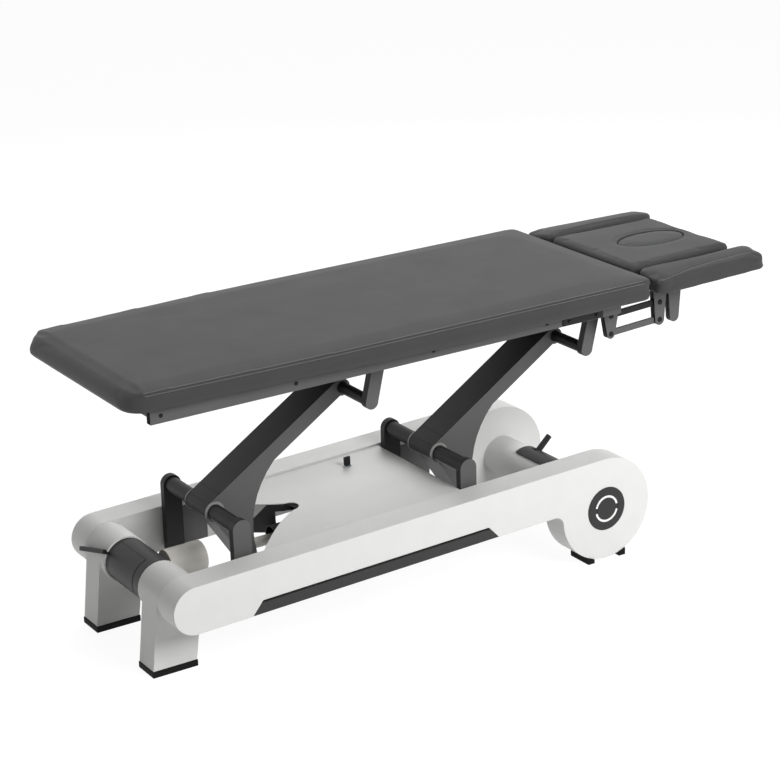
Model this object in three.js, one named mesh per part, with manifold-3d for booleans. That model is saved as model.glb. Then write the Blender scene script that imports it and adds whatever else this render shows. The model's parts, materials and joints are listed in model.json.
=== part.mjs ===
// Electric massage table: a white base on two legs and two round wheel housings, a dark steel
// lifting frame with two parallel arms, and a padded top with a tilting head section.
// Millimetres. +X points to the head end, +Y to the far side, +Z up, and the origin is on the
// floor below the middle of the table.
import * as THREE from 'three';
import { mergeVertices } from 'three/addons/utils/BufferGeometryUtils.js';
import Module from 'manifold-3d';

const wasm = await Module();
wasm.setup();

// Driving dimensions of the whole table.
const baseWidth = 604;
const beamThick = 85;
const beamHeight = 132;
const beamLength = 1377;
const baseSlopeDegrees = 1.65;
const housingX = 467;
const housingRadius = 151.5;
const housingLift = 5.5;
const pivotHeight = 346;
const footPivotX = -653;
const headPivotX = 62;
const armLength = 486;
const armRestDegrees = 32.5;
const cushionBase = 765.6;
const cushionStartX = -1010;
const cushionHeadReach = 104.11;
const cushionHalfWidth = 332;
const headPadLength = 382;
const armrestLength = 412;

// Shared fits and wall sizes.
const seatGap = 0.3;
const runningGap = 0.6;
const cutOverrun = 5;
const shellWall = 4;
const tubeWall = 2;

const degree = Math.PI / 180;
const quarterTurn = Math.PI / 2;
const hangerLean = 29;
const armRest = armRestDegrees * degree;
const upperRise = armLength * Math.sin(armRest);
const upperRun = armLength * Math.cos(armRest);
const headCrossbarX = headPivotX + upperRun + hangerLean;
const cushionEndX = headCrossbarX + cushionHeadReach;
const cushionLength = cushionEndX - cushionStartX;
const innerHalf = baseWidth / 2 - beamThick;
const outerHalf = baseWidth / 2;
const housingZ = housingRadius + housingLift;
const sides = [{ name: 'near', sign: -1 }, { name: 'far', sign: 1 }];

function toSolid(geometry) {
  const bare = geometry.clone();
  bare.deleteAttribute('normal');
  bare.deleteAttribute('uv');
  const merged = mergeVertices(bare, 1e-5);
  return new wasm.Manifold(new wasm.Mesh({
    numProp: 3,
    vertProperties: new Float32Array(merged.attributes.position.array),
    triVerts: new Uint32Array(merged.index.array),
  }));
}

function toGeometry(solid) {
  const mesh = solid.getMesh();
  const geometry = new THREE.BufferGeometry();
  geometry.setAttribute('position', new THREE.BufferAttribute(new Float32Array(mesh.vertProperties), 3));
  geometry.setIndex(new THREE.BufferAttribute(new Uint32Array(mesh.triVerts), 1));
  return geometry;
}

function join(first, ...others) {
  return toGeometry(others.reduce((solid, other) => solid.add(toSolid(other)), toSolid(first)));
}

function cut(first, ...others) {
  return toGeometry(others.reduce((solid, other) => solid.subtract(toSolid(other)), toSolid(first)));
}

function block(x0, x1, y0, y1, z0, z1) {
  const geometry = new THREE.BoxGeometry(x1 - x0, y1 - y0, z1 - z0);
  return geometry.translate((x0 + x1) / 2, (y0 + y1) / 2, (z0 + z1) / 2);
}

// An outline drawn in X and Z, as thick as the stretch of Y it fills.
function plateAcross(shape, y0, y1, curveSegments = 8) {
  const geometry = new THREE.ExtrudeGeometry(shape, { depth: y1 - y0, bevelEnabled: false, curveSegments });
  return geometry.rotateX(quarterTurn).translate(0, y1, 0);
}

// An outline drawn in Y and Z, as thick as the stretch of X it fills.
function plateAlong(shape, x0, x1, curveSegments = 8) {
  const geometry = new THREE.ExtrudeGeometry(shape, { depth: x1 - x0, bevelEnabled: false, curveSegments });
  return geometry.rotateX(quarterTurn).rotateZ(quarterTurn).translate(x0, 0, 0);
}

// An outline drawn in X and Y, as thick as the stretch of Z it fills.
function plateFlat(shape, z0, z1, curveSegments = 8) {
  const geometry = new THREE.ExtrudeGeometry(shape, { depth: z1 - z0, bevelEnabled: false, curveSegments });
  return geometry.translate(0, 0, z0);
}

function outline(points) {
  return new THREE.Shape(points.map(([a, b]) => new THREE.Vector2(a, b)));
}

// A round bar along Y between two places across the table.
function barAcross(x, z, radius, y0, y1, segments = 20) {
  const geometry = new THREE.CylinderGeometry(radius, radius, y1 - y0, segments);
  return geometry.translate(x, (y0 + y1) / 2, z);
}

// A round bar along X.
function barAlong(y, z, radius, x0, x1, segments = 20) {
  const geometry = new THREE.CylinderGeometry(radius, radius, x1 - x0, segments).rotateZ(quarterTurn);
  return geometry.translate((x0 + x1) / 2, y, z);
}

// A round bar that stands on Z.
function barUp(x, y, radius, z0, z1, segments = 20) {
  const geometry = new THREE.CylinderGeometry(radius, radius, z1 - z0, segments).rotateX(quarterTurn);
  return geometry.translate(x, y, (z0 + z1) / 2);
}

function finish(color, roughness, metalness = 0) {
  return new THREE.MeshStandardMaterial({ color, roughness, metalness });
}

const finishes = {
  cover: () => finish('#e2e2e0', 0.45),
  painted: () => finish('#dedede', 0.4, 0.1),
  darkSteel: () => finish('#5a5c5e', 0.5, 0.2),
  blackSteel: () => finish('#1c1c1e', 0.45, 0.2),
  rubber: () => finish('#161616', 0.85),
  plastic: () => finish('#2c2d2f', 0.55),
  leather: () => finish('#565758', 0.6),
  bright: () => finish('#b9bcbf', 0.3, 1),
};

const group = new THREE.Group();

function add(parent, name, geometry, material) {
  const mesh = new THREE.Mesh(geometry, material);
  mesh.name = name;
  parent.add(mesh);
  return mesh;
}

// The chassis turns about the middle of the wheel housings, so that the beams rise to the head.
// Places in it are written from that middle.
const chassis = new THREE.Group();
chassis.position.set(housingX, 0, housingZ);
chassis.rotation.y = -baseSlopeDegrees * degree;
group.add(chassis);

const endRadius = beamHeight / 2;
const beamBottom = housingRadius - beamHeight;
const endCentre = endRadius - beamLength;

// A place in the chassis, given in the table's own X and Z.
function fromChassis(along, up) {
  const turn = baseSlopeDegrees * degree;
  return {
    x: housingX + along * Math.cos(turn) - up * Math.sin(turn),
    z: housingZ + along * Math.sin(turn) + up * Math.cos(turn),
  };
}

// Side covers: one outline of round foot end, straight beam and wheel housing, hollow and open
// below, with a recess along the outer bottom edge for the foot control bar.
const housingFillet = 28;
const recessDepth = 24;
const recessFootEnd = -1152;
const recessHeadEnd = -372;
const recessTop = 57;
const recessSplay = 33;
const capRadius = 64.5;
const capThick = 7;
const capProud = 2;
const cavityFloor = recessTop + shellWall;
const axleRadius = 18;
const barTopGap = 7;
const barFaceGap = 4;
const barEndGap = 0.45;

function coverShape() {
  const filletUp = beamBottom - housingFillet;
  const filletAlong = -Math.sqrt((housingRadius + housingFillet) ** 2 - filletUp ** 2);
  const meet = Math.atan2(-filletUp, -filletAlong);
  const shape = new THREE.Shape();
  shape.moveTo(0, housingRadius);
  shape.lineTo(endCentre, housingRadius);
  shape.absarc(endCentre, housingRadius - endRadius, endRadius, quarterTurn, 3 * quarterTurn, false);
  shape.lineTo(filletAlong, beamBottom);
  shape.absarc(filletAlong, filletUp, housingFillet, quarterTurn, meet, true);
  shape.absarc(0, 0, housingRadius, Math.PI + meet, 2 * Math.PI + quarterTurn, false);
  return shape;
}

function recessShape(gap, bottom, top) {
  const slant = recessSplay / (recessTop - beamBottom);
  const inset = (up) => (up - beamBottom) * slant + gap;
  return outline([
    [recessFootEnd + inset(bottom), bottom],
    [recessHeadEnd - inset(bottom), bottom],
    [recessHeadEnd - inset(top), top],
    [recessFootEnd + inset(top), top],
  ]);
}

// A stretch of Y on one side of the table, from two distances off its middle plane.
function across(sign, from, to) {
  return [Math.min(sign * from, sign * to), Math.max(sign * from, sign * to)];
}

for (const { name, sign } of sides) {
  const [y0, y1] = across(sign, innerHalf, outerHalf);
  const [c0, c1] = across(sign, innerHalf + shellWall, outerHalf - shellWall);
  const [n0, n1] = across(sign, innerHalf + shellWall, outerHalf - recessDepth - shellWall);
  const [r0, r1] = across(sign, outerHalf - recessDepth, outerHalf + cutOverrun);
  const [h0, h1] = across(sign, innerHalf - cutOverrun, innerHalf + shellWall + cutOverrun);
  const [k0, k1] = across(sign, outerHalf - capThick + capProud, outerHalf + cutOverrun);
  const endUp = housingRadius - endRadius;
  add(chassis, `${name}_side_cover`, cut(
    plateAcross(coverShape(), y0, y1, 20),
    block(endCentre, 0, c0, c1, cavityFloor, housingRadius - shellWall),
    block(endCentre, recessFootEnd - shellWall, c0, c1, beamBottom + shellWall, housingRadius - shellWall),
    block(endCentre, -housingRadius, n0, n1, beamBottom - cutOverrun, cavityFloor + cutOverrun),
    barAcross(0, 0, housingRadius - shellWall, c0, c1, 28),
    barAcross(endCentre, endUp, endRadius - shellWall, c0, c1, 28),
    plateAcross(recessShape(0, beamBottom - cutOverrun, recessTop), r0, r1),
    barAcross(0, 0, axleRadius + seatGap, h0, h1),
    barAcross(endCentre, endUp, axleRadius + seatGap, h0, h1),
    barAcross(0, 0, capRadius + seatGap, k0, k1, 32),
  ), finishes.cover());

  // Hub cap: a dark round plate let into the outer face of the wheel housing.
  const [p0, p1] = across(sign, outerHalf - capThick + capProud + seatGap, outerHalf + capProud);
  add(chassis, `${name}_hub_cap`, barAcross(0, 0, capRadius, p0, p1, 32), finishes.plastic());

  // Foot control bar: pressed with the toe anywhere along the table, it springs back out.
  const [b0, b1] = across(sign, outerHalf - recessDepth + barFaceGap, outerHalf - seatGap);
  add(chassis, `${name}_control_bar`,
    plateAcross(recessShape(barEndGap, beamBottom, recessTop - barTopGap), b0, b1), finishes.darkSteel());
}

// Foot cross tube: a white tube between the beams, on two legs. It is stepped down under the dark
// sleeve, and its ends pass into the side covers as axles.
const coreRadius = 40;
const axleReach = 56;
const legClear = 11;
const legThick = 80.5;
const sleeveToLeg = 27.5;
const legOuter = innerHalf - legClear;
const legInner = legOuter - legThick;
const sleeveHalf = legInner - sleeveToLeg;
const legFootWidth = 128;
const legSlant = 22;
const padHeight = 18;
const padProud = 2;
const spineRadius = 43;
const spineEndX = -671;
const spigotRadius = 20;
const spigotLength = 110;
const footTube = fromChassis(endCentre, housingRadius - endRadius);
const reach = innerHalf + axleReach;

const legs = sides.map(({ sign }) => {
  const [y0, y1] = across(sign, legInner, legOuter);
  const leg = outline([
    [footTube.x - endRadius, footTube.z],
    [footTube.x - endRadius - legSlant, padHeight + seatGap],
    [footTube.x - endRadius - legSlant + legFootWidth, padHeight + seatGap],
    [footTube.x + endRadius, footTube.z],
  ]);
  return plateAcross(leg, y0, y1);
});
const shoulders = sides.map(({ sign }) => {
  const [y0, y1] = across(sign, sleeveHalf + seatGap, innerHalf - seatGap);
  return barAcross(footTube.x, footTube.z, endRadius, y0, y1, 28);
});
add(group, 'foot_cross_tube', join(
  barAcross(footTube.x, footTube.z, coreRadius, -sleeveHalf - cutOverrun, sleeveHalf + cutOverrun, 32),
  ...shoulders,
  ...legs,
  barAcross(footTube.x, footTube.z, axleRadius, -reach, reach),
  barAlong(0, footTube.z, spigotRadius, footTube.x, footTube.x + spigotLength),
), finishes.painted());

for (const { name, sign } of sides) {
  const [y0, y1] = across(sign, legInner - padProud, legOuter + padProud);
  const footX = footTube.x - endRadius - legSlant;
  add(group, `${name}_rubber_foot`,
    block(footX - padProud, footX + legFootWidth + padProud, y0, y1, 0, padHeight), finishes.rubber());
}

// Spine tube: the wide cream tube that runs from the foot cross tube towards the lifting frame.
const spineStartX = footTube.x + endRadius;
add(group, 'spine_tube', cut(
  barAlong(0, footTube.z, spineRadius, spineStartX, spineEndX, 28),
  barAlong(0, footTube.z, spineRadius - tubeWall, spineStartX + shellWall, spineEndX - shellWall, 28),
  barAlong(0, footTube.z, spigotRadius + seatGap, spineStartX - cutOverrun, spineStartX + shellWall + cutOverrun),
), finishes.painted());

// Sleeve: the dark cover round the middle of the foot cross tube, and the pedal beside it.
const sleeveRadius = 62;
const pedalWidth = 6;
const pedalBarThick = 12;
const pedalStart = { angle: 148.5, radius: 78 };
const pedalShort = 1;
const pedalEnd = { angle: 170, radius: 80, across: legOuter - pedalShort };
add(group, 'foot_sleeve', cut(
  barAcross(footTube.x, footTube.z, sleeveRadius, -sleeveHalf, sleeveHalf - pedalWidth - 2 * runningGap, 32),
  barAcross(footTube.x, footTube.z, sleeveRadius - shellWall,
    -sleeveHalf + shellWall, sleeveHalf - pedalWidth - 2 * runningGap - shellWall, 32),
  barAcross(footTube.x, footTube.z, coreRadius + seatGap, -sleeveHalf - cutOverrun, sleeveHalf + cutOverrun, 32),
  barAlong(0, footTube.z, spigotRadius + seatGap, footTube.x, spineStartX),
), finishes.plastic());

function onFootTube(angle, radius) {
  return { x: footTube.x + radius * Math.cos(angle * degree), z: footTube.z + radius * Math.sin(angle * degree) };
}

// A square bar between two places, as long as the way between them.
function barBetween(from, to, thick) {
  const way = new THREE.Vector3().subVectors(to, from);
  const turn = new THREE.Quaternion().setFromUnitVectors(new THREE.Vector3(1, 0, 0), way.clone().normalize());
  const geometry = new THREE.BoxGeometry(way.length() + thick, thick, thick);
  geometry.applyQuaternion(turn);
  const middle = way.multiplyScalar(1 / 2).add(from);
  return geometry.translate(middle.x, middle.y, middle.z);
}

const pedalOuter = sleeveHalf - runningGap;
const pedalMiddle = pedalOuter - pedalWidth / 2;
const tabEnd = onFootTube(pedalStart.angle, pedalStart.radius);
const tabRoot = onFootTube(pedalStart.angle, coreRadius + pedalBarThick);
const barEnd = onFootTube(pedalEnd.angle, pedalEnd.radius);
add(group, 'foot_pedal', cut(
  join(
    barAcross(footTube.x, footTube.z, sleeveRadius, pedalOuter - pedalWidth, pedalOuter, 32),
    barBetween(new THREE.Vector3(tabRoot.x, pedalMiddle, tabRoot.z),
      new THREE.Vector3(tabEnd.x, pedalMiddle, tabEnd.z), pedalWidth),
    barBetween(new THREE.Vector3(tabEnd.x, pedalMiddle, tabEnd.z),
      new THREE.Vector3(barEnd.x, pedalEnd.across, barEnd.z), pedalBarThick),
  ),
  barAcross(footTube.x, footTube.z, coreRadius + runningGap, 0, 2 * sleeveHalf, 32),
), finishes.blackSteel());

// Head cross tube between the wheel housings, with a dark saddle on top and a hand lever.
const headTubeRadius = 61;
const saddleThick = 5;
const saddleHalfWidth = 92;
const saddleHalfAngle = 30 * degree;
const leverAcross = 56;
const leverRadius = 9;
const leverRoot = { angle: 69, radius: 60 };
const leverTip = { angle: 57, radius: 110.7 };
const leverSlotWidth = 22;
const leverSlot = { from: 38 * degree, to: 84 * degree };
const leverSeat = 46;
add(group, 'head_cross_tube', cut(
  join(
    barAcross(housingX, housingZ, headTubeRadius, -innerHalf + seatGap, innerHalf - seatGap, 32),
    barAcross(housingX, housingZ, axleRadius, -reach, reach),
  ),
  plateAcross(arcBand(housingX, housingZ, leverSeat, headTubeRadius + cutOverrun, leverSlot.from, leverSlot.to),
    leverAcross - leverSlotWidth / 2, leverAcross + leverSlotWidth / 2, 10),
), finishes.painted());

function arcBand(x, z, inner, outer, from, to) {
  const shape = new THREE.Shape();
  shape.moveTo(x + outer * Math.cos(from), z + outer * Math.sin(from));
  shape.absarc(x, z, outer, from, to, false);
  shape.lineTo(x + inner * Math.cos(to), z + inner * Math.sin(to));
  shape.absarc(x, z, inner, to, from, true);
  return shape;
}

const saddleInner = headTubeRadius + seatGap;
add(group, 'head_saddle', cut(
  plateAcross(arcBand(housingX, housingZ, saddleInner, saddleInner + saddleThick,
    quarterTurn - saddleHalfAngle, quarterTurn + saddleHalfAngle), -saddleHalfWidth, saddleHalfWidth, 16),
  plateAcross(arcBand(housingX, housingZ, leverSeat, headTubeRadius + 2 * saddleThick, leverSlot.from,
    leverSlot.to), leverAcross - leverSlotWidth / 2, leverAcross + leverSlotWidth / 2, 10),
), finishes.plastic());

const leverFrom = new THREE.Vector3(housingX + leverRoot.radius * Math.cos(leverRoot.angle * degree),
  leverAcross, housingZ + leverRoot.radius * Math.sin(leverRoot.angle * degree));
const leverTo = new THREE.Vector3(housingX + leverTip.radius * Math.cos(leverTip.angle * degree),
  leverAcross, housingZ + leverTip.radius * Math.sin(leverTip.angle * degree));
const shoeAngle = { from: 63 * degree, to: 75 * degree };
add(group, 'head_lever', join(
  barBetween(leverFrom, leverTo, 2 * leverRadius * Math.SQRT1_2),
  plateAcross(arcBand(housingX, housingZ, leverSeat + runningGap, headTubeRadius, shoeAngle.from, shoeAngle.to),
    leverAcross - leverRadius, leverAcross + leverRadius, 6),
), finishes.blackSteel());

// Bars below each wheel housing, which stand on the floor beside the retracted wheel.
const standOffset = 55;
const standWidth = 22;
const standInset = 5;
const standProud = 4;
const standInner = innerHalf + standInset;
const standOuter = outerHalf + standProud;
for (const { name, sign } of sides) {
  for (const end of [{ name: 'foot', sign: -1 }, { name: 'head', sign: 1 }]) {
    const [y0, y1] = across(sign, standInner, standOuter);
    const x = housingX + end.sign * standOffset;
    add(group, `${name}_stand_bar_${end.name}`, cut(
      block(x - standWidth / 2, x + standWidth / 2, y0, y1, 0, standWidth),
      barAcross(housingX, housingZ, housingRadius + seatGap, y0 - cutOverrun, y1 + cutOverrun, 64),
    ), finishes.rubber());
  }
}

// Deck between the beams, with a rounded opening at its foot end, and the wall below that opening.
const deckTop = 146;
const deckThick = 3;
const deckHeadEnd = -431;
const openingApex = -831;
const openingTipRadius = 28;
const openingMouth = -1063;
const openingBend = { along: -943, across: 72 };
const openingWallBottom = 60;
const openingWallThick = 4;
const openingWallNotchHalf = 42;
const openingWallNotchTop = 122;
const openingWallEnd = { low: -965, high: -895 };
const deckHalf = innerHalf - seatGap;
const slitLength = 78;
const slitWidth = 3;
const slitStart = -855;
const slitInset = 29;
const slitAcross = slitInset - innerHalf;

function openingPath(shape, shift) {
  const tip = openingApex - openingTipRadius + shift;
  shape.quadraticCurveTo(openingBend.along + shift, -openingBend.across, tip, -openingTipRadius);
  shape.absarc(tip, 0, openingTipRadius, -quarterTurn, quarterTurn, false);
  shape.quadraticCurveTo(openingBend.along + shift, openingBend.across, openingMouth + shift, deckHalf);
}

const deckShape = new THREE.Shape();
deckShape.moveTo(openingMouth, -deckHalf);
openingPath(deckShape, 0);
deckShape.lineTo(deckHeadEnd, deckHalf);
deckShape.lineTo(deckHeadEnd, -deckHalf);
const keyInset = 77;
const keyPlace = { along: -583, across: innerHalf - keyInset };
const keyBarrelRadius = 9;
const keyBarrelProud = 4;
const keyBarrelDepth = 26;
add(chassis, 'deck', cut(
  plateFlat(deckShape, deckTop - deckThick, deckTop, 12),
  block(slitStart, slitStart + slitLength, slitAcross - slitWidth / 2, slitAcross + slitWidth / 2,
    deckTop - 2 * deckThick, deckTop + cutOverrun),
  barUp(keyPlace.along, keyPlace.across, keyBarrelRadius + seatGap, deckTop - 2 * deckThick, deckTop + cutOverrun),
), finishes.painted());

function openingEdge(shift) {
  const path = new THREE.Shape();
  path.moveTo(openingMouth + shift, -deckHalf);
  openingPath(path, shift);
  return path.getPoints(8).map((point) => [point.x, point.y]);
}

const wallPoints = [...openingEdge(0), ...openingEdge(openingWallThick).reverse()];

add(chassis, 'opening_wall', cut(
  plateFlat(outline(wallPoints), openingWallBottom, deckTop - deckThick - seatGap),
  block(openingMouth, openingApex + 2 * openingTipRadius, -openingWallNotchHalf, openingWallNotchHalf,
    openingWallBottom - cutOverrun, openingWallNotchTop),
  plateAcross(outline([
    [openingMouth - cutOverrun, openingWallBottom - cutOverrun],
    [openingWallEnd.low, openingWallBottom - cutOverrun],
    [openingWallEnd.high, deckTop],
    [openingMouth - cutOverrun, deckTop],
  ]), -innerHalf, innerHalf),
), finishes.plastic());

// Key switch in the deck: a barrel with a slot, and a key that turns in it.
const keyBlade = { width: 8, thick: 2.4, depth: 12 };
const keyBow = { width: 20, height: 24, thick: 5 };
add(chassis, 'key_switch', cut(
  join(
    barUp(keyPlace.along, keyPlace.across, keyBarrelRadius, deckTop - keyBarrelDepth, deckTop + keyBarrelProud),
    barUp(keyPlace.along, keyPlace.across, keyBarrelRadius + keyBarrelProud, deckTop + seatGap,
      deckTop + keyBarrelProud),
  ),
  barUp(keyPlace.along, keyPlace.across, keyBlade.width / 2 + runningGap, deckTop + keyBarrelProud - keyBlade.depth,
    deckTop + keyBarrelProud + cutOverrun),
), finishes.bright());
const keySeat = deckTop + keyBarrelProud + runningGap;
add(chassis, 'key', join(
  block(keyPlace.along - keyBlade.width / 2 + runningGap, keyPlace.along + keyBlade.width / 2 - runningGap,
    keyPlace.across - keyBlade.thick / 2, keyPlace.across + keyBlade.thick / 2,
    keySeat - keyBlade.depth + 2 * runningGap, keySeat + keyBow.thick),
  block(keyPlace.along - keyBow.width / 2, keyPlace.along + keyBow.width / 2,
    keyPlace.across - keyBow.thick / 2, keyPlace.across + keyBow.thick / 2, keySeat, keySeat + keyBow.height),
), finishes.blackSteel());

// Cross beam under the deck. It carries the deck on two posts and the drive on a pair of ears.
const drivePivotX = -60;
const drivePivotZ = 205;
const driveTurn = baseSlopeDegrees * degree;
const drivePivot = {
  along: (drivePivotX - housingX) * Math.cos(driveTurn) + (drivePivotZ - housingZ) * Math.sin(driveTurn),
  up: (drivePivotZ - housingZ) * Math.cos(driveTurn) - (drivePivotX - housingX) * Math.sin(driveTurn),
};
const crossBeamHalf = 20;
const crossBeamHeight = 36;
const driveEyeRadius = 18;
const drivePinRadius = 8;
const driveEyeHalf = 20;
const earThick = 8;
const deckPostInset = 57;
const postAcross = innerHalf - deckPostInset;
const crossBeamTop = drivePivot.up - driveEyeRadius - shellWall;
const postUp = deckTop - deckThick - seatGap;
const beamParts = sides.flatMap(({ sign }) => {
  const [e0, e1] = across(sign, driveEyeHalf + runningGap, driveEyeHalf + runningGap + earThick);
  const [q0, q1] = across(sign, postAcross - crossBeamHalf, postAcross + crossBeamHalf);
  const [m0, m1] = [drivePivot.along - crossBeamHalf, drivePivot.along + crossBeamHalf];
  return [
    block(m0, m1, e0, e1, crossBeamTop - shellWall, drivePivot.up),
    barAcross(drivePivot.along, drivePivot.up, crossBeamHalf, e0, e1, 32),
    block(m0, m1, q0, q1, crossBeamTop - shellWall, postUp),
  ];
});
const pinHalf = driveEyeHalf + runningGap + earThick;
add(chassis, 'cross_beam', join(
  block(drivePivot.along - crossBeamHalf, drivePivot.along + crossBeamHalf, -innerHalf + seatGap,
    innerHalf - seatGap, crossBeamTop - crossBeamHeight, crossBeamTop),
  ...beamParts,
  barAcross(drivePivot.along, drivePivot.up, drivePinRadius, -pinHalf, pinHalf),
), finishes.darkSteel());

// Yokes: two posts bolted to the beams carry a pivot tube with a light bearing ring each side of
// the arm.
const postWidth = 54;
const postThick = 22;
const postClear = 12;
const postOuter = innerHalf - postClear;
const postInner = postOuter - postThick;
const postFoot = 155;
const mountPadHeight = 80;
const mountPadWidth = 40;
const pivotTubeRadius = 22;
const hubRadius = 27;
const armHalf = 55;
const ringRadius = 29;
const ringWidth = 3;
const yokes = [{ name: 'foot', x: footPivotX }, { name: 'head', x: headPivotX }];
for (const yoke of yokes) {
  for (const { name, sign } of sides) {
    const shape = new THREE.Shape();
    shape.moveTo(yoke.x - postWidth / 2, postFoot);
    shape.lineTo(yoke.x + postWidth / 2, postFoot);
    shape.absarc(yoke.x, pivotHeight, postWidth / 2, 0, Math.PI, false);
    const [y0, y1] = across(sign, postInner, postOuter);
    const [m0, m1] = across(sign, postInner + tubeWall, innerHalf - seatGap);
    add(group, `${yoke.name}_post_${name}`, join(
      plateAcross(shape, y0, y1),
      block(yoke.x - mountPadWidth / 2, yoke.x + mountPadWidth / 2, m0, m1, postFoot + shellWall,
        postFoot + shellWall + mountPadHeight),
    ), finishes.darkSteel());
  }
  const tubeHalf = postInner - seatGap;
  const rings = sides.map(({ sign }) => {
    const [y0, y1] = across(sign, armHalf + runningGap, armHalf + runningGap + ringWidth);
    return barAcross(yoke.x, pivotHeight, ringRadius, y0, y1, 28);
  });
  add(group, `${yoke.name}_pivot_tube`, join(
    barAcross(yoke.x, pivotHeight, pivotTubeRadius, -tubeHalf, tubeHalf, 32),
    ...rings,
  ), finishes.darkSteel());
}

// Lifting arms: a box arm on a hub, with a hollow crank that hangs from its lower end. Each arm is
// drawn along its own length, from the lower pivot, and then turned to its place.
const armBelow = 15;
const armAbove = 28;
const armWall = 4;
const crankWall = 5;
const crankDepth = 217;
const crankWidth = 38;
const crankBack = 15;
const crankReach = 214;
const crankBend = { along: 75, up: -50 };
const crankTipRadius = 12;
const crankPin = { along: 9, up: -181, radius: 8 };
const upperTubeRadius = 16;
const upperHubRadius = 24;
const hubClearance = 4;

function crankShape(inset) {
  const left = -crankBack + inset;
  const shape = new THREE.Shape();
  shape.moveTo(left, armAbove - crankWall);
  shape.lineTo(left, -crankDepth + crankTipRadius);
  shape.absarc(left + crankTipRadius, -crankDepth + crankTipRadius, crankTipRadius, Math.PI, 3 * quarterTurn, false);
  shape.lineTo(left + crankWidth - crankTipRadius, -crankDepth);
  shape.quadraticCurveTo(left + crankWidth, -crankDepth, left + crankWidth, -crankDepth + 2 * crankTipRadius);
  shape.quadraticCurveTo(crankBend.along, crankBend.up, crankReach, -armBelow);
  shape.lineTo(crankReach, armAbove - crankWall);
  return shape;
}

function armGeometry() {
  const innerHalfWidth = armHalf - crankWall;
  const hollowEnd = armLength - upperHubRadius - hubClearance;
  const hollowStart = hubRadius + hubClearance;
  const hollow = join(
    block(hollowStart, hollowEnd, -innerHalfWidth, innerHalfWidth, -armBelow + armWall, armAbove - armWall),
    plateAcross(crankHollow(), -innerHalfWidth, innerHalfWidth),
  );
  return cut(
    join(
      cut(
        join(
          block(0, armLength, -armHalf, armHalf, -armBelow, armAbove),
          plateAcross(crankShape(0), -armHalf, armHalf),
        ),
        hollow,
      ),
      barAcross(0, 0, hubRadius, -armHalf, armHalf, 32),
      barAcross(armLength, 0, upperHubRadius, -armHalf, armHalf, 32),
      barAcross(crankPin.along, crankPin.up, crankPin.radius, -armHalf + tubeWall, armHalf - tubeWall),
    ),
    barAcross(0, 0, pivotTubeRadius + runningGap, -armHalf - cutOverrun, armHalf + cutOverrun, 32),
    barAcross(armLength, 0, upperTubeRadius + runningGap, -armHalf - cutOverrun, armHalf + cutOverrun, 32),
  );
}

function crankHollow() {
  const left = -crankBack + crankWall;
  const right = crankReach;
  return outline([
    [hubRadius + hubClearance, armAbove - armWall],
    [hubRadius + hubClearance, -armBelow],
    [left, -hubRadius - hubClearance],
    [left, -crankDepth - cutOverrun],
    [right, -crankDepth - cutOverrun],
    [right, -armBelow + armWall],
    [right - crankWall, armAbove - armWall],
  ]);
}

for (const yoke of yokes) {
  const frame = new THREE.Group();
  frame.position.set(yoke.x, 0, pivotHeight);
  frame.rotation.y = -armRest;
  group.add(frame);
  add(frame, `${yoke.name}_arm`, armGeometry(), finishes.darkSteel());
}

// Drive: a tube that pivots under the deck, and a rod that pivots on the pin of the foot crank.
const driveLength = 396;
const driveNeck = 14;
const driveRadius = 31;
const driveBoreRadius = 27.5;
const driveBoreLength = 240;
const motorRadius = 36;
const motorLength = 90;
const rodRadius = 15;
const rodLength = 270;
const rodEyeRadius = 16;
const rodEyeHalf = 18;
const mouthX = drivePivotX - driveLength;
const motorEnd = drivePivotX - driveEyeRadius - driveNeck;
add(group, 'drive_tube', cut(
  join(
    barAlong(0, drivePivotZ, driveRadius, mouthX, motorEnd),
    barAlong(0, drivePivotZ, motorRadius, motorEnd - motorLength, motorEnd),
    barAcross(drivePivotX, drivePivotZ, driveEyeRadius, -driveEyeHalf, driveEyeHalf),
    block(motorEnd - cutOverrun, drivePivotX, -driveEyeHalf, driveEyeHalf,
      drivePivotZ - drivePinRadius - shellWall, drivePivotZ + drivePinRadius + shellWall),
  ),
  barAlong(0, drivePivotZ, driveBoreRadius, mouthX - cutOverrun, mouthX + driveBoreLength),
  barAcross(drivePivotX, drivePivotZ, drivePinRadius + runningGap, -2 * driveEyeHalf, 2 * driveEyeHalf, 16),
), finishes.plastic());

const rodPivotX = footPivotX + crankPin.along * Math.cos(armRest) - crankPin.up * Math.sin(armRest);
const rodPivotZ = pivotHeight + crankPin.along * Math.sin(armRest) + crankPin.up * Math.cos(armRest);
add(group, 'drive_rod', cut(
  join(
    barAlong(0, rodPivotZ, rodRadius, rodPivotX, rodPivotX + rodLength),
    barAcross(rodPivotX, rodPivotZ, rodEyeRadius, -rodEyeHalf, rodEyeHalf, 28),
  ),
  barAcross(rodPivotX, rodPivotZ, crankPin.radius + runningGap, -2 * rodEyeHalf, 2 * rodEyeHalf),
), finishes.painted());

// Top frame: two rails and three crossbars of square tube, with a pair of hangers for each arm.
const railWidth = 20;
const railHeight = 40;
const railInset = 42;
const railOuter = cushionHalfWidth - railInset;
const railStart = -935;
const railHeadReach = 24.11;
const railEnd = headCrossbarX + railHeadReach;
const railInner = railOuter - railWidth;
const railTop = cushionBase - seatGap;
const railBottom = railTop - railHeight;
const crossbarWidth = 40;
for (const { name, sign } of sides) {
  const [y0, y1] = across(sign, railInner, railOuter);
  add(group, `${name}_rail`, cut(
    block(railStart, railEnd, y0, y1, railBottom, railTop),
    block(railStart - cutOverrun, railEnd + cutOverrun, y0 + tubeWall, y1 - tubeWall, railBottom + tubeWall,
      railTop - tubeWall),
  ), finishes.darkSteel());
}

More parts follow.
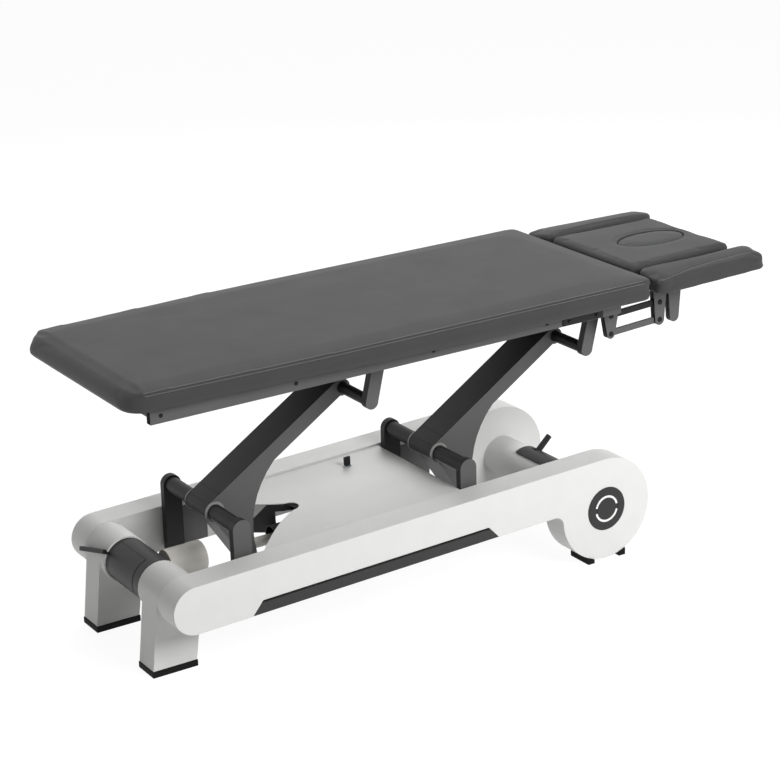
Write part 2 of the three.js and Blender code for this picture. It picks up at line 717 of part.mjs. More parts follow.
function crossbar(x) {
  const half = railInner - seatGap;
  return cut(
    block(x - crossbarWidth / 2, x + crossbarWidth / 2, -half, half, railBottom, railTop),
    block(x - crossbarWidth / 2 + tubeWall, x + crossbarWidth / 2 - tubeWall, -half - cutOverrun,
      half + cutOverrun, railBottom + tubeWall, railTop - tubeWall),
  );
}

// Hangers lean from the crossbars down to the upper pivots of the arms.
const hangerThick = 24;
const hangerInset = 65;
const hangerOuter = railInner - hangerInset;
const hangerInner = hangerOuter - hangerThick;
const hangerRadius = 20;
const hangerGussetIn = 110;
const hangerGussetDown = 70;
const hangerGussetThick = 8;
const upperPivotZ = pivotHeight + upperRise;
const footCrossbarX = railStart + crossbarWidth;
add(group, 'end_crossbar', crossbar(footCrossbarX), finishes.darkSteel());
for (const yoke of yokes) {
  const pivotX = yoke.x + upperRun;
  const topX = pivotX + hangerLean;
  const topZ = railBottom - seatGap;
  for (const { name, sign } of sides) {
    const shape = new THREE.Shape();
    shape.moveTo(topX - hangerRadius, topZ);
    shape.lineTo(pivotX - hangerRadius, upperPivotZ);
    shape.absarc(pivotX, upperPivotZ, hangerRadius, Math.PI, 2 * Math.PI, false);
    shape.lineTo(topX + hangerRadius, topZ);
    const [y0, y1] = across(sign, hangerInner, hangerOuter);
    const plate = plateAcross(shape, y0, y1);
    const gusset = outline([
      [sign * (hangerInner + tubeWall), topZ],
      [sign * (hangerInner - hangerGussetIn), topZ],
      [sign * (hangerInner + tubeWall), topZ - hangerGussetDown],
    ]);
    const geometry = yoke.name === 'foot'
      ? join(plate, plateAlong(gusset, topX - hangerGussetThick / 2, topX + hangerGussetThick / 2))
      : plate;
    add(group, `${yoke.name}_hanger_${name}`, geometry, finishes.darkSteel());
  }
  const tubeHalf = hangerInner - seatGap;
  add(group, `${yoke.name}_upper_tube`,
    barAcross(pivotX, upperPivotZ, upperTubeRadius, -tubeHalf, tubeHalf, 28), finishes.darkSteel());
}

add(group, 'middle_crossbar', crossbar(footPivotX + upperRun + hangerLean), finishes.darkSteel());

// The crossbar at the head end also carries two ears for the hinge of the head section.
const headHingeReach = 18;
const headHingeDrop = 23.6;
const headHingeX = cushionEndX + headHingeReach;
const headHingeZ = cushionBase - headHingeDrop;
const headHingeRadius = 14;
const headHingePinRadius = 6;
const headEarThick = 8;
const headEarInset = 150;
const headEarAcross = railInner - headEarInset;
const headEars = sides.map(({ sign }) => {
  const [y0, y1] = across(sign, headEarAcross - headEarThick / 2, headEarAcross + headEarThick / 2);
  return join(
    block(headCrossbarX, headHingeX, y0, y1, headHingeZ - headHingeRadius, headHingeZ + headHingeRadius),
    barAcross(headHingeX, headHingeZ, headHingeRadius, y0, y1, 28),
  );
});
const headPinHalf = headEarAcross + headEarThick / 2 + runningGap + headEarThick;
add(group, 'head_crossbar', cut(
  join(crossbar(headCrossbarX), ...headEars),
  barAcross(headHingeX, headHingeZ, headHingePinRadius + runningGap, -railInner, railInner),
  block(headCrossbarX - crossbarWidth / 2 + tubeWall, headCrossbarX + crossbarWidth / 2 - tubeWall, -railInner,
    railInner, railBottom + tubeWall, railTop - tubeWall),
), finishes.darkSteel());

// Accessory plate on the near rail, with two bolts.
const plateBack = 178.9;
const plateLength = 137;
const plateLift = 2.7;
const plateHeight = 20;
const platePlace = {
  from: headCrossbarX - plateBack,
  to: headCrossbarX - plateBack + plateLength,
  bottom: railBottom + plateLift,
  top: railBottom + plateLift + plateHeight,
};
const plateThick = 4;
const boltRadius = 5;
const boltInset = 22;
const plateOuter = -railOuter - seatGap - plateThick;
const boltZ = (platePlace.bottom + platePlace.top) / 2;
add(group, 'accessory_plate', join(
  block(platePlace.from, platePlace.to, plateOuter, -railOuter - seatGap, platePlace.bottom, platePlace.top),
  ...[platePlace.from + boltInset, platePlace.to - boltInset].map((x) => barAcross(x, boltZ, boltRadius,
    plateOuter - plateThick, plateOuter + plateThick / 2, 16)),
), finishes.blackSteel());

// Upholstery. A cushion is a stack of rings: each follows the plan at its own inset and height.
// Rings are written as [inset, height] from the outline and the base.
const cornerSteps = 5;

function planRing(plan, inset) {
  const points = [];
  for (const [sx, sy, start] of [[1, 1, 0], [-1, 1, quarterTurn], [-1, -1, Math.PI], [1, -1, 3 * quarterTurn]]) {
    const corner = sx > 0 ? plan.headCorner : plan.corner;
    const radius = Math.max(corner - inset, corner * plan.innerCornerShare);
    const cx = sx * (plan.length / 2 - inset - radius);
    const cy = sy * (plan.halfWidth - inset - radius);
    for (let step = 0; step <= cornerSteps; step += 1) {
      const angle = start + quarterTurn * step / cornerSteps;
      points.push([cx + radius * Math.cos(angle), cy + radius * Math.sin(angle)]);
    }
    // Places along the long side that follows this corner.
    for (let step = 1; step < plan.sideSteps && sx === sy; step += 1) {
      points.push([cx - 2 * cx * step / plan.sideSteps, cy + sy * radius]);
    }
  }
  return points;
}

function stackRings(rings, mirrored = false) {
  const positions = [];
  const indices = [];
  const count = rings[0].length;
  for (const ring of rings) {
    for (const point of ring) {
      positions.push(...point);
    }
  }
  for (let level = 0; level + 1 < rings.length; level += 1) {
    for (let k = 0; k < count; k += 1) {
      const a = level * count + k;
      const b = level * count + (k + 1) % count;
      indices.push(a, b, b + count, a, b + count, a + count);
    }
  }
  for (const [level, turned] of [[0, true], [rings.length - 1, false]]) {
    const ring = rings[level];
    const middle = positions.length / 3;
    const mean = [0, 1, 2].map((axis) => ring.reduce((sum, point) => sum + point[axis], 0) / count);
    positions.push(...mean);
    for (let k = 0; k < count; k += 1) {
      const a = level * count + k;
      const b = level * count + (k + 1) % count;
      indices.push(...(turned ? [middle, b, a] : [middle, a, b]));
    }
  }
  const geometry = new THREE.BufferGeometry();
  geometry.setAttribute('position', new THREE.BufferAttribute(new Float32Array(positions), 3));
  geometry.setIndex(mirrored ? indices.reverse() : indices);
  return geometry;
}

function cushion(plan, profile, place, mirrored = false) {
  const rings = profile.map(([inset, height]) => planRing(plan, inset).map(([x, y]) => place(x, y, height)));
  return stackRings(rings, mirrored);
}

// Main cushion: narrower towards the foot end, softly crowned, with a seam round its top edge and
// a rim that hangs past the rails.
const mainPlan = {
  length: cushionLength, halfWidth: cushionHalfWidth, corner: 62, headCorner: 20,
  innerCornerShare: 0.3, sideSteps: 9,
};
const mainThick = 60;
const mainRimDrop = 8;
const rimToRail = 3;
const mainRimInset = railInset - rimToRail;
const mainDraw = 4;
const mainSeamDepth = 2.5;
const mainSeamHeight = 54;
const mainFootNarrowing = 22;
const mainTaperLength = 600;
const mainEdge = 10;
const footEnd = { zone: 62, tipHeight: 18, roll: 50, undercut: 15 };
const mainProfile = [
  [mainRimInset + mainEdge, 0],
  [mainRimInset, 0],
  [mainRimInset - mainSeamDepth, -mainRimDrop],
  [mainEdge, -mainRimDrop],
  [mainSeamDepth, -mainRimDrop / 2],
  [0, mainEdge],
  [mainDraw, mainSeamHeight / 2],
  [0, mainSeamHeight - mainEdge],
  [mainSeamDepth / 2, mainSeamHeight - mainSeamDepth],
  [mainSeamDepth * 2, mainSeamHeight - mainSeamDepth / 2],
  [mainSeamDepth * 2, mainSeamHeight + mainSeamDepth / 2],
  [mainEdge, mainSeamHeight + mainSeamDepth],
  [mainEdge * 4, mainThick - mainSeamDepth / 2],
  [cushionHalfWidth / 2, mainThick],
];
const cushionMiddle = cushionStartX + cushionLength / 2;

// The foot end has no edge: the cover rolls down from the top and in again below its tip.
function footEndInset(height) {
  if (height < footEnd.tipHeight) {
    return footEnd.undercut * (1 - Math.max(height, 0) / footEnd.tipHeight) ** 2;
  }
  const share = Math.min(1, (height - footEnd.tipHeight) / (mainSeamHeight - footEnd.tipHeight));
  return footEnd.roll * (1 - Math.sqrt(1 - share ** 2));
}

add(group, 'main_cushion', cushion(mainPlan, mainProfile, (x, y, height) => {
  const past = Math.max(0, (mainTaperLength - cushionLength / 2 - x) / mainTaperLength);
  const narrow = 1 - past * mainFootNarrowing / cushionHalfWidth;
  const rise = past > 0 && height < mainEdge ? Math.max(height, 0) : height;
  const endShare = Math.min(1, Math.max(0, (footEnd.zone - cushionLength / 2 - x) / footEnd.zone));
  return [cushionMiddle + x + endShare * footEndInset(rise), y * narrow, cushionBase + rise];
}), finishes.leather());

// Head section: a tilting frame with a centre pad, and a loose oval plug in its face opening.
const headTilt = new THREE.Group();
headTilt.position.set(headHingeX, 0, headHingeZ);
group.add(headTilt);
const headPadStart = 11;
const linkInset = 30;
const linkAcross = railInner - linkInset;
const armrestToLink = 35;
const armrestFootInner = linkAcross - armrestToLink;
const headPadClear = 8;
const headPadNarrowing = 12;
const headPadFootHalf = armrestFootInner - headPadClear;
const headPadHeadHalf = headPadFootHalf - headPadNarrowing;
const headPadBase = 25;
const headPadThick = 50;
const headPadPlan = {
  length: headPadLength, halfWidth: headPadFootHalf, corner: 26, headCorner: 26, innerCornerShare: 0.3,
  sideSteps: 3,
};
const padEdge = 9;
const padDraw = 3;
const padSeamDepth = 2;
const plugHalfLength = 114;
const plugHalfWidth = 65;
const plugAlong = 239;
const plugLedge = 8;
const plugLedgeHeight = 10;
const plugGap = 1;
const padProfile = [
  [padEdge, 0],
  [padSeamDepth, padSeamDepth],
  [0, padEdge],
  [padDraw, headPadThick / 2],
  [0, headPadThick - 2 * padEdge],
  [padSeamDepth, headPadThick - padEdge],
  [padEdge, headPadThick - padSeamDepth],
  [2 * padEdge, headPadThick - padSeamDepth / 2],
  [headPadHeadHalf / 2, headPadThick],
];

function oval(halfLength, halfWidth, bottom, top) {
  const shape = new THREE.Shape();
  shape.absellipse(plugAlong, 0, halfLength, halfWidth, 0, 2 * Math.PI, false);
  return plateFlat(shape, bottom, top, 20);
}

const headPadBody = cushion(headPadPlan, padProfile, (x, y, height) => {
  const along = (x + headPadLength / 2) / headPadLength;
  const narrow = 1 - along * (1 - headPadHeadHalf / headPadFootHalf);
  return [headPadStart + headPadLength / 2 + x, y * narrow, headPadBase + height];
});
add(headTilt, 'head_pad', cut(
  headPadBody,
  oval(plugHalfLength, plugHalfWidth, headPadBase + plugLedgeHeight, headPadBase + 2 * headPadThick),
  oval(plugHalfLength - plugLedge, plugHalfWidth - plugLedge, headPadBase - cutOverrun, headPadBase + headPadThick),
), finishes.leather());

const plugPlan = { halfLength: plugHalfLength - plugGap, halfWidth: plugHalfWidth - plugGap };
const plugCrown = 3;
const plugEdge = 4;
const plugSteps = 36;
const plugTop = headPadBase + headPadThick - padSeamDepth;
const plugLevels = [
  [plugEdge, headPadBase + plugLedgeHeight + seatGap],
  [0, headPadBase + plugLedgeHeight + plugEdge],
  [0, plugTop - plugEdge],
  [plugEdge, plugTop],
  [plugHalfWidth / 2, plugTop + plugCrown],
];
add(headTilt, 'face_plug', stackRings(plugLevels.map(([inset, height]) => {
  const ring = [];
  for (let step = 0; step < plugSteps; step += 1) {
    const angle = 2 * Math.PI * step / plugSteps;
    ring.push([plugAlong + (plugPlan.halfLength - inset) * Math.cos(angle),
      (plugPlan.halfWidth - inset) * Math.sin(angle), height]);
  }
  return ring;
})), finishes.leather());

// Head frame: ears on the hinge pin, and a flat plate with an oval opening under the pad.
const framePlateThick = 4;
const framePlateEnd = 360;
const framePlateInset = 21;
const framePlateHalf = headPadHeadHalf - framePlateInset;
const framePlateTop = headPadBase - seatGap;
const frameEars = sides.map(({ sign }) => {
  const inner = headEarAcross + headEarThick / 2 + runningGap;
  const [y0, y1] = across(sign, inner, inner + headEarThick);
  return join(
    barAcross(0, 0, headHingeRadius, y0, y1, 28),
    block(0, headPadStart + 2 * headHingeRadius, y0, y1, -headHingeRadius, framePlateTop),
  );
});
add(headTilt, 'head_frame', cut(
  join(
    block(headPadStart, framePlateEnd, -framePlateHalf, framePlateHalf, framePlateTop - framePlateThick,
      framePlateTop),
    barAcross(0, 0, headHingePinRadius, -headPinHalf, headPinHalf),
    ...frameEars,
  ),
  oval(plugHalfLength - plugLedge, plugHalfWidth - plugLedge, -headHingeRadius, headPadThick),
), finishes.darkSteel());

// Armrests: on each side two parallel links swing between a bracket on the head crossbar and a
// carrier below the pad.
const linkReach = 21.11;
const linkDrop = 111.6;
const linkPivotX = headCrossbarX + linkReach;
const linkLowerZ = cushionBase - linkDrop;
const linkSpacing = 52;
const linkRun = 174;
const linkRise = 8;
const linkHalf = 4;
const linkEyeRadius = 10;
const linkPinRadius = 5;
const bracketThick = 5;
const bracketHalfWidth = 14;
const plateInner = linkHalf + runningGap;
const plateOuterHalf = plateInner + bracketThick;
const carrierHalfWidth = 16;
const carrierOverhang = 8;
const carrierSpacing = 53;

function linkBar(z) {
  const dx = linkRun;
  const dz = linkRise;
  const length = Math.hypot(dx, dz);
  const body = new THREE.BoxGeometry(length, 2 * linkHalf, 2 * linkEyeRadius - tubeWall);
  body.rotateY(-Math.atan2(dz, dx)).translate(linkPivotX + dx / 2, 0, z + dz / 2);
  const hole = linkPinRadius + runningGap;
  return cut(
    join(
      body,
      barAcross(linkPivotX, z, linkEyeRadius, -linkHalf, linkHalf),
      barAcross(linkPivotX + dx, z + dz, linkEyeRadius, -linkHalf, linkHalf),
    ),
    barAcross(linkPivotX, z, hole, -2 * linkHalf, 2 * linkHalf, 16),
    barAcross(linkPivotX + dx, z + dz, hole, -2 * linkHalf, 2 * linkHalf, 16),
  );
}

function lobe(x, halfWidth, bottomZ, topZ, topOverhang) {
  const shape = new THREE.Shape();
  shape.moveTo(x - halfWidth - topOverhang, topZ);
  shape.lineTo(x - halfWidth, bottomZ);
  shape.absarc(x, bottomZ, halfWidth, Math.PI, 2 * Math.PI, false);
  shape.lineTo(x + halfWidth + topOverhang, topZ);
  return shape;
}

// A pair of plates with pins between them and a bridge over their tops. The bridge runs on to each
// of the further places, where a second pair of plates hangs.
function clevis(x, halfWidth, bottomZ, topZ, pinZs, topOverhang, further = []) {
  const places = [x, ...further];
  const plates = places.flatMap((place) => [[-plateOuterHalf, -plateInner], [plateInner, plateOuterHalf]]
    .map(([y0, y1]) => plateAcross(lobe(place, halfWidth, bottomZ, topZ, topOverhang), y0, y1)));
  const pins = pinZs.map((z) => barAcross(x, z, linkPinRadius, -plateOuterHalf, plateOuterHalf, 16));
  const bridge = block(x - halfWidth - topOverhang, Math.max(...places) + halfWidth + topOverhang,
    -plateOuterHalf, plateOuterHalf, topZ - bracketThick, topZ);
  return join(...plates, ...pins, bridge);
}

const armrestReach = 30;
const armrestDrop = 2.6;
const armrestStart = cushionEndX + armrestReach;
const armrestBase = cushionBase - armrestDrop;
const armrestThick = 54;
const armrestHalfWidth = 62;
const armrestSlopeDrop = 17;
const armrestNarrowing = 22;
const armrestPlan = {
  length: armrestLength, halfWidth: armrestHalfWidth, corner: 36, headCorner: 36, innerCornerShare: 0.3,
  sideSteps: 5,
};
const armrestProfile = [
  [padEdge, 0],
  [padSeamDepth, padSeamDepth],
  [0, padEdge],
  [padDraw, armrestThick / 2],
  [0, armrestThick - 2 * padEdge],
  [padSeamDepth, armrestThick - padEdge],
  [padEdge, armrestThick - padSeamDepth],
  [2 * padEdge, armrestThick - padSeamDepth / 2],
  [armrestHalfWidth - padEdge, armrestThick],
];

for (const { name, sign } of sides) {
  const side = new THREE.Group();
  side.position.y = sign * linkAcross;
  group.add(side);
  const bracketTop = railBottom - seatGap;
  add(side, `${name}_armrest_bracket`, clevis(linkPivotX, bracketHalfWidth, linkLowerZ, bracketTop,
    [linkLowerZ, linkLowerZ + linkSpacing], bracketHalfWidth), finishes.darkSteel());
  add(side, `${name}_lower_link`, linkBar(linkLowerZ), finishes.darkSteel());
  add(side, `${name}_upper_link`, linkBar(linkLowerZ + linkSpacing), finishes.blackSteel());
  const carrierX = linkPivotX + linkRun;
  const carrierZ = linkLowerZ + linkRise;
  add(side, `${name}_armrest_carrier`, clevis(carrierX, carrierHalfWidth, carrierZ, armrestBase - seatGap,
    [carrierZ, carrierZ + linkSpacing], carrierOverhang, [carrierX + carrierSpacing]), finishes.darkSteel());
  add(group, `${name}_armrest_pad`, cushion(armrestPlan, armrestProfile, (x, y, height) => {
    const along = (x + armrestLength / 2) / armrestLength;
    const levelShare = height / armrestThick;
    const outward = (y + armrestHalfWidth) / (2 * armrestHalfWidth);
    const share = 1 - along * armrestNarrowing / (2 * armrestHalfWidth);
    const placeX = armrestStart + armrestLength / 2 + x;
    const drop = armrestSlopeDrop * outward ** 2 * levelShare;
    return [placeX, sign * (armrestFootInner + (armrestHalfWidth + y) * share), armrestBase + height - drop];
  }, sign < 0), finishes.leather());
}

// The origin lies on the floor below the middle of the whole length. All places above are written
// before this shift.
const originShift = -20;
group.position.x = originShift;

export default group;
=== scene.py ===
import json
from math import atan2, cos, exp, hypot, pi, radians, sin

import bmesh
import bpy
from mathutils import Matrix, Vector, noise
from mathutils.bvhtree import BVHTree
from mathutils.kdtree import KDTree

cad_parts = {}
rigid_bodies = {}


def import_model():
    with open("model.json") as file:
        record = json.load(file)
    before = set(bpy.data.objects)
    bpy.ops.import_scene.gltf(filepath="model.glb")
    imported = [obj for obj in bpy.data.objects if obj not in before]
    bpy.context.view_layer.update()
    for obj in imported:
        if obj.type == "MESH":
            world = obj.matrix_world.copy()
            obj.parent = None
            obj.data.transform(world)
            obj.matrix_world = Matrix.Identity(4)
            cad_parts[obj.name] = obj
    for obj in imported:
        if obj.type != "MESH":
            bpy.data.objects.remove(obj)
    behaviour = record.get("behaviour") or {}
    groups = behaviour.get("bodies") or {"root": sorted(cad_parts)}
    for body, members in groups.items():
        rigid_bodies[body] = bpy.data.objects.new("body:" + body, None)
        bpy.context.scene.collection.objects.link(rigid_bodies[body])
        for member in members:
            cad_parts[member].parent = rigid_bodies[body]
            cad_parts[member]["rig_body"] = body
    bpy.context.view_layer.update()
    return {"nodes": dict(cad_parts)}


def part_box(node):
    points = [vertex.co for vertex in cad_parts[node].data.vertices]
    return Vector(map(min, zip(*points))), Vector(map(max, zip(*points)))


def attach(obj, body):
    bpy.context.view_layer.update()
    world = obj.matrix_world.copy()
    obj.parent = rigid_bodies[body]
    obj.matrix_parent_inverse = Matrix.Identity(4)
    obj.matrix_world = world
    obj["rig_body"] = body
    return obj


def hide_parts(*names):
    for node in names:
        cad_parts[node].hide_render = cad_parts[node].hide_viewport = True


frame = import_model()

# Electric massage table, seen from the near side of its foot end. Metres: +X points to the head
# end, +Y to the far side and +Z up, with the floor at zero.

# Camera
# It looks down along the table with a long lens, from the near side, off the foot end.
view_right = Vector((0.84035, -0.54133, -0.02793))
view_up = Vector((0.20621, 0.27161, 0.94006))
view_ahead = Vector((0.50129, 0.79573, -0.33988))
view_from = Vector((-3.2148, -4.9811, 2.6686))
photo_width_px, focal_length_px, sensor_width = 780, 2258, 36
camera = bpy.data.cameras.new("camera")
camera.sensor_fit = "HORIZONTAL"
camera.sensor_width = sensor_width
camera.lens = sensor_width * focal_length_px / photo_width_px
camera.clip_end = 100
eye = bpy.data.objects.new("camera", camera)
turn = Matrix((view_right, view_up, -view_ahead)).transposed().to_4x4()
eye.matrix_world = Matrix.Translation(view_from) @ turn
bpy.context.scene.collection.objects.link(eye)
bpy.context.scene.camera = eye
bpy.context.scene.view_settings.view_transform = "Standard"


# Floor and light
# A plain pale studio: a white floor that keeps a faint shadow, a broad soft lamp on the near side
# towards the head end, a weaker one overhead, one behind the far head corner, and an even room.
def add(tree, kind, inputs=None, **settings):
    """Adds a node, gives it its settings, and fills or links its inputs."""
    node = tree.nodes.new(kind)
    for key, value in settings.items():
        setattr(node, key, value)
    for socket, value in (inputs or {}).items():
        if isinstance(value, bpy.types.NodeSocket):
            tree.links.new(value, node.inputs[socket])
        else:
            node.inputs[socket].default_value = value
    return node


def colour(code):
    """The linear colour of an sRGB hex value."""
    parts = [int(code[i:i + 2], 16) / 255 for i in (1, 3, 5)]
    return (*[p / 12.92 if p <= 0.04045 else ((p + 0.055) / 1.055) ** 2.4 for p in parts], 1)


def looked_at(tree):
    """One for rays that come from the eye or from a mirror image, and nothing for light."""
    rays = add(tree, "ShaderNodeLightPath")
    seen = add(tree, "ShaderNodeMath", {
        0: rays.outputs["Is Camera Ray"], 1: rays.outputs["Is Glossy Ray"]}, operation="MAXIMUM")
    return add(tree, "ShaderNodeMath", {
        0: seen.outputs[0], 1: rays.outputs["Is Transmission Ray"]}, operation="MAXIMUM")


floor_half, paper_glow, room_light, room_white = 60, 0.93, 0.24, 1
floor_paper = bpy.data.materials.new("white_studio_paper")
floor_paper.use_nodes = True
tree = floor_paper.node_tree
tree.nodes.clear()
seen = looked_at(tree)
tone = add(tree, "ShaderNodeMix", {
    "Factor": seen.outputs[0], 6: colour("#e6e6e6"), 7: colour("#6a6a6a")}, data_type="RGBA")
lit = add(tree, "ShaderNodeBsdfDiffuse", {"Color": tone.outputs[2]})
glow = add(tree, "ShaderNodeMath", {0: seen.outputs[0], 1: paper_glow}, operation="MULTIPLY")
white = add(tree, "ShaderNodeEmission", {"Color": (1, 1, 1, 1), "Strength": glow.outputs[0]})
both = add(tree, "ShaderNodeAddShader", {0: lit.outputs[0], 1: white.outputs[0]})
add(tree, "ShaderNodeOutputMaterial", {"Surface": both.outputs[0]})

bm = bmesh.new()
bmesh.ops.create_grid(bm, x_segments=1, y_segments=1, size=floor_half)
floor_mesh = bpy.data.meshes.new("floor")
bm.to_mesh(floor_mesh)
bm.free()
floor_mesh.materials.append(floor_paper)
floor = bpy.data.objects.new("floor", floor_mesh)
bpy.context.scene.collection.objects.link(floor)

room = bpy.data.worlds.new("room")
bpy.context.scene.world = room
room.use_nodes = True
tree = room.node_tree
tree.nodes.clear()
seen = looked_at(tree)
dim = add(tree, "ShaderNodeBackground", {"Color": (1, 1, 1, 1), "Strength": room_light})
bright = add(tree, "ShaderNodeBackground", {"Color": (1, 1, 1, 1), "Strength": room_white})
pick = add(tree, "ShaderNodeMixShader", {0: seen.outputs[0], 1: dim.outputs[0], 2: bright.outputs[0]})
add(tree, "ShaderNodeOutputWorld", {"Surface": pick.outputs[0]})

# Each lamp has its place, what it points at, its width in metres and its power in watts.
for name, place, aim, across, power in [
    ("lamp_near", (1.2, -4.3, 3.5), (0.0, 0.0, 0.35), 2.8, 250),
    ("lamp_above", (-0.5, 0.6, 4.4), (0.0, 0.0, 0.6), 2.4, 30),
    ("lamp_far", (2.4, 3.0, 2.9), (0.0, 0.0, 0.3), 2.4, 125),
]:
    lamp = bpy.data.lights.new(name, "AREA")
    lamp.size = across
    lamp.energy = power
    holder = bpy.data.objects.new(name, lamp)
    holder.location = place
    holder.rotation_mode = "QUATERNION"
    holder.rotation_quaternion = (Vector(aim) - Vector(place)).to_track_quat("-Z", "Y")
    holder.visible_glossy = False
    bpy.context.scene.collection.objects.link(holder)


# Side covers
# Two hollow covers run the length of the base and swell round the wheel housings. They are
# moulded in white ABS with a fine spark-eroded grain, which takes the shine off and leaves the
# edges soft, with a slightly greyer tone where hands and shoes rub.
def material(name):
    """A new material, with its node tree and its surface node."""
    made = bpy.data.materials.new(name)
    made.use_nodes = True
    return made, made.node_tree, made.node_tree.nodes["Principled BSDF"]


def mottled(tree, skin, across, detail, tones, dulls):
    """Lets the tone and the roughness drift together, in patches as wide as across, in metres."""
    spot = add(tree, "ShaderNodeTexCoord")
    drift = add(tree, "ShaderNodeTexNoise", {
        "Vector": spot.outputs["Object"], "Scale": 1 / across, "Detail": detail})
    tone = add(tree, "ShaderNodeMix", {
        "Factor": drift.outputs["Fac"], 6: colour(tones[0]), 7: colour(tones[1])}, data_type="RGBA")
    tree.links.new(tone.outputs[2], skin.inputs["Base Color"])
    gloss = add(tree, "ShaderNodeMapRange", {
        "Value": drift.outputs["Fac"], "To Min": dulls[0], "To Max": dulls[1]})
    tree.links.new(gloss.outputs[0], skin.inputs["Roughness"])
    return spot, drift


abs_white, tree, skin = material("abs_white_spark_eroded_moulding")
skin.inputs["IOR"].default_value = 1.53
skin.inputs["Specular IOR Level"].default_value = 0.35
# Rubbed patches are about 60 mm across.
spot, _ = mottled(tree, skin, 0.06, 3, ("#e3e3e2", "#dcdcda"), (0.38, 0.5))
# The real grain is 0.2 mm; it is drawn at 0.9 mm, so that it shows.
grain = add(tree, "ShaderNodeTexNoise", {
    "Vector": spot.outputs["Object"], "Scale": 1 / 0.0009, "Detail": 2})
relief = add(tree, "ShaderNodeBump", {
    "Height": grain.outputs["Fac"], "Strength": 0.18, "Distance": 0.0002})
tree.links.new(relief.outputs[0], skin.inputs["Normal"])


def shown(bm, name, body, finishes, stands_for=(), sharp=40, choose=None):
    """Makes the finished piece: soft shading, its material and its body."""
    for face in bm.faces:
        face.smooth = True
        if choose:
            face.material_index = choose(face)
    for edge in bm.edges:
        edge.smooth = edge.calc_face_angle(0) < radians(sharp)
    mesh = bpy.data.meshes.new(name)
    bm.to_mesh(mesh)
    bm.free()
    for one in finishes:
        mesh.materials.append(one)
    piece = bpy.data.objects.new(name, mesh)
    bpy.context.scene.collection.objects.link(piece)
    even = piece.modifiers.new("even_shading", "WEIGHTED_NORMAL")
    even.keep_sharp = True
    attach(piece, body)
    if stands_for:
        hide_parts(*stands_for)
    for node in stands_for:
        for place in frame["nodes"][node].material_slots:
            place.material = finishes[0]
    return piece


def rounded(bm, edges, reach, steps):
    """Rounds the given edges of a mesh."""
    bmesh.ops.bevel(bm, geom=edges, offset=reach, offset_type="OFFSET", segments=steps, profile=0.5,
                    affect="EDGES", clamp_overlap=True, material=-1)


join_within, flat_below, corner_above = 1e-5, radians(0.4), radians(32)


def dressed(node, finishes, edge, choose=None):
    """The node's own form with its edges rounded: a merged copy stands for it."""
    source = frame["nodes"][node]
    bm = bmesh.new()
    bm.from_mesh(source.data)
    bmesh.ops.remove_doubles(bm, verts=bm.verts, dist=join_within)
    bmesh.ops.dissolve_limit(bm, angle_limit=flat_below, verts=bm.verts, edges=bm.edges)
    sharp = [e for e in bm.edges if e.is_manifold and e.calc_face_angle(0) > corner_above]
    rounded(bm, sharp, edge, 3)
    return shown(bm, node + "_finished", source["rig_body"], finishes, (node,), choose=choose)


for side in ("near", "far"):
    dressed(side + "_side_cover", [abs_white], 0.0022)


# Hub caps
# A dark polycarbonate disc is pressed into each wheel housing. A ring groove runs round it, and
# two arcs of white enamelled strip lie in the groove.
dark_plastic, tree, skin = material("polycarbonate_dark_satin_moulding")
skin.inputs["IOR"].default_value = 1.58
skin.inputs["Specular IOR Level"].default_value = 0.3
spot, _ = mottled(tree, skin, 0.05, 3, ("#262627", "#2c2c2d"), (0.42, 0.56))
# The leather-like moulding grain has cells of 1.2 mm.
cells = add(tree, "ShaderNodeTexVoronoi", {"Vector": spot.outputs["Object"], "Scale": 1 / 0.0012})
relief = add(tree, "ShaderNodeBump", {
    "Height": cells.outputs["Distance"], "Strength": 0.2, "Distance": 0.0002})
tree.links.new(relief.outputs[0], skin.inputs["Normal"])

white_enamel, tree, skin = material("enamelled_steel_strip_white_gloss")
skin.inputs["Roughness"].default_value = 0.22
spot = add(tree, "ShaderNodeTexCoord")
drift = add(tree, "ShaderNodeTexNoise", {"Vector": spot.outputs["Object"], "Scale": 1 / 0.01})
tone = add(tree, "ShaderNodeMix", {
    "Factor": drift.outputs["Fac"], 6: colour("#f6f6f4"), 7: colour("#ececea")}, data_type="RGBA")
tree.links.new(tone.outputs[2], skin.inputs["Base Color"])


def turned(profile, foot, way, closed=False, steps=96, sweep=2 * pi, start=0.0):
    """Spins (radius, height) pairs round a line that leaves foot along way."""
    bm = bmesh.new()
    line = [bm.verts.new((r * cos(start), r * sin(start), h)) for r, h in profile]
    if closed and sweep < 2 * pi:
        bm.faces.new(line)
    else:
        for a, b in zip(line, line[1:] + (line[:1] if closed else [])):
            bm.edges.new((a, b))
    whole = sweep >= 2 * pi
    bmesh.ops.spin(bm, geom=bm.verts[:] + bm.edges[:] + bm.faces[:], cent=(0, 0, 0), axis=(0, 0, 1),
                   angle=sweep, steps=steps, use_merge=whole)
    bmesh.ops.remove_doubles(bm, verts=bm.verts, dist=1e-6)
    bmesh.ops.recalc_face_normals(bm, faces=bm.faces)
    pose = Matrix.Translation(foot) @ Vector(way).to_track_quat("Z", "Y").to_matrix().to_4x4()
    bmesh.ops.transform(bm, matrix=pose, verts=bm.verts)
    return bm


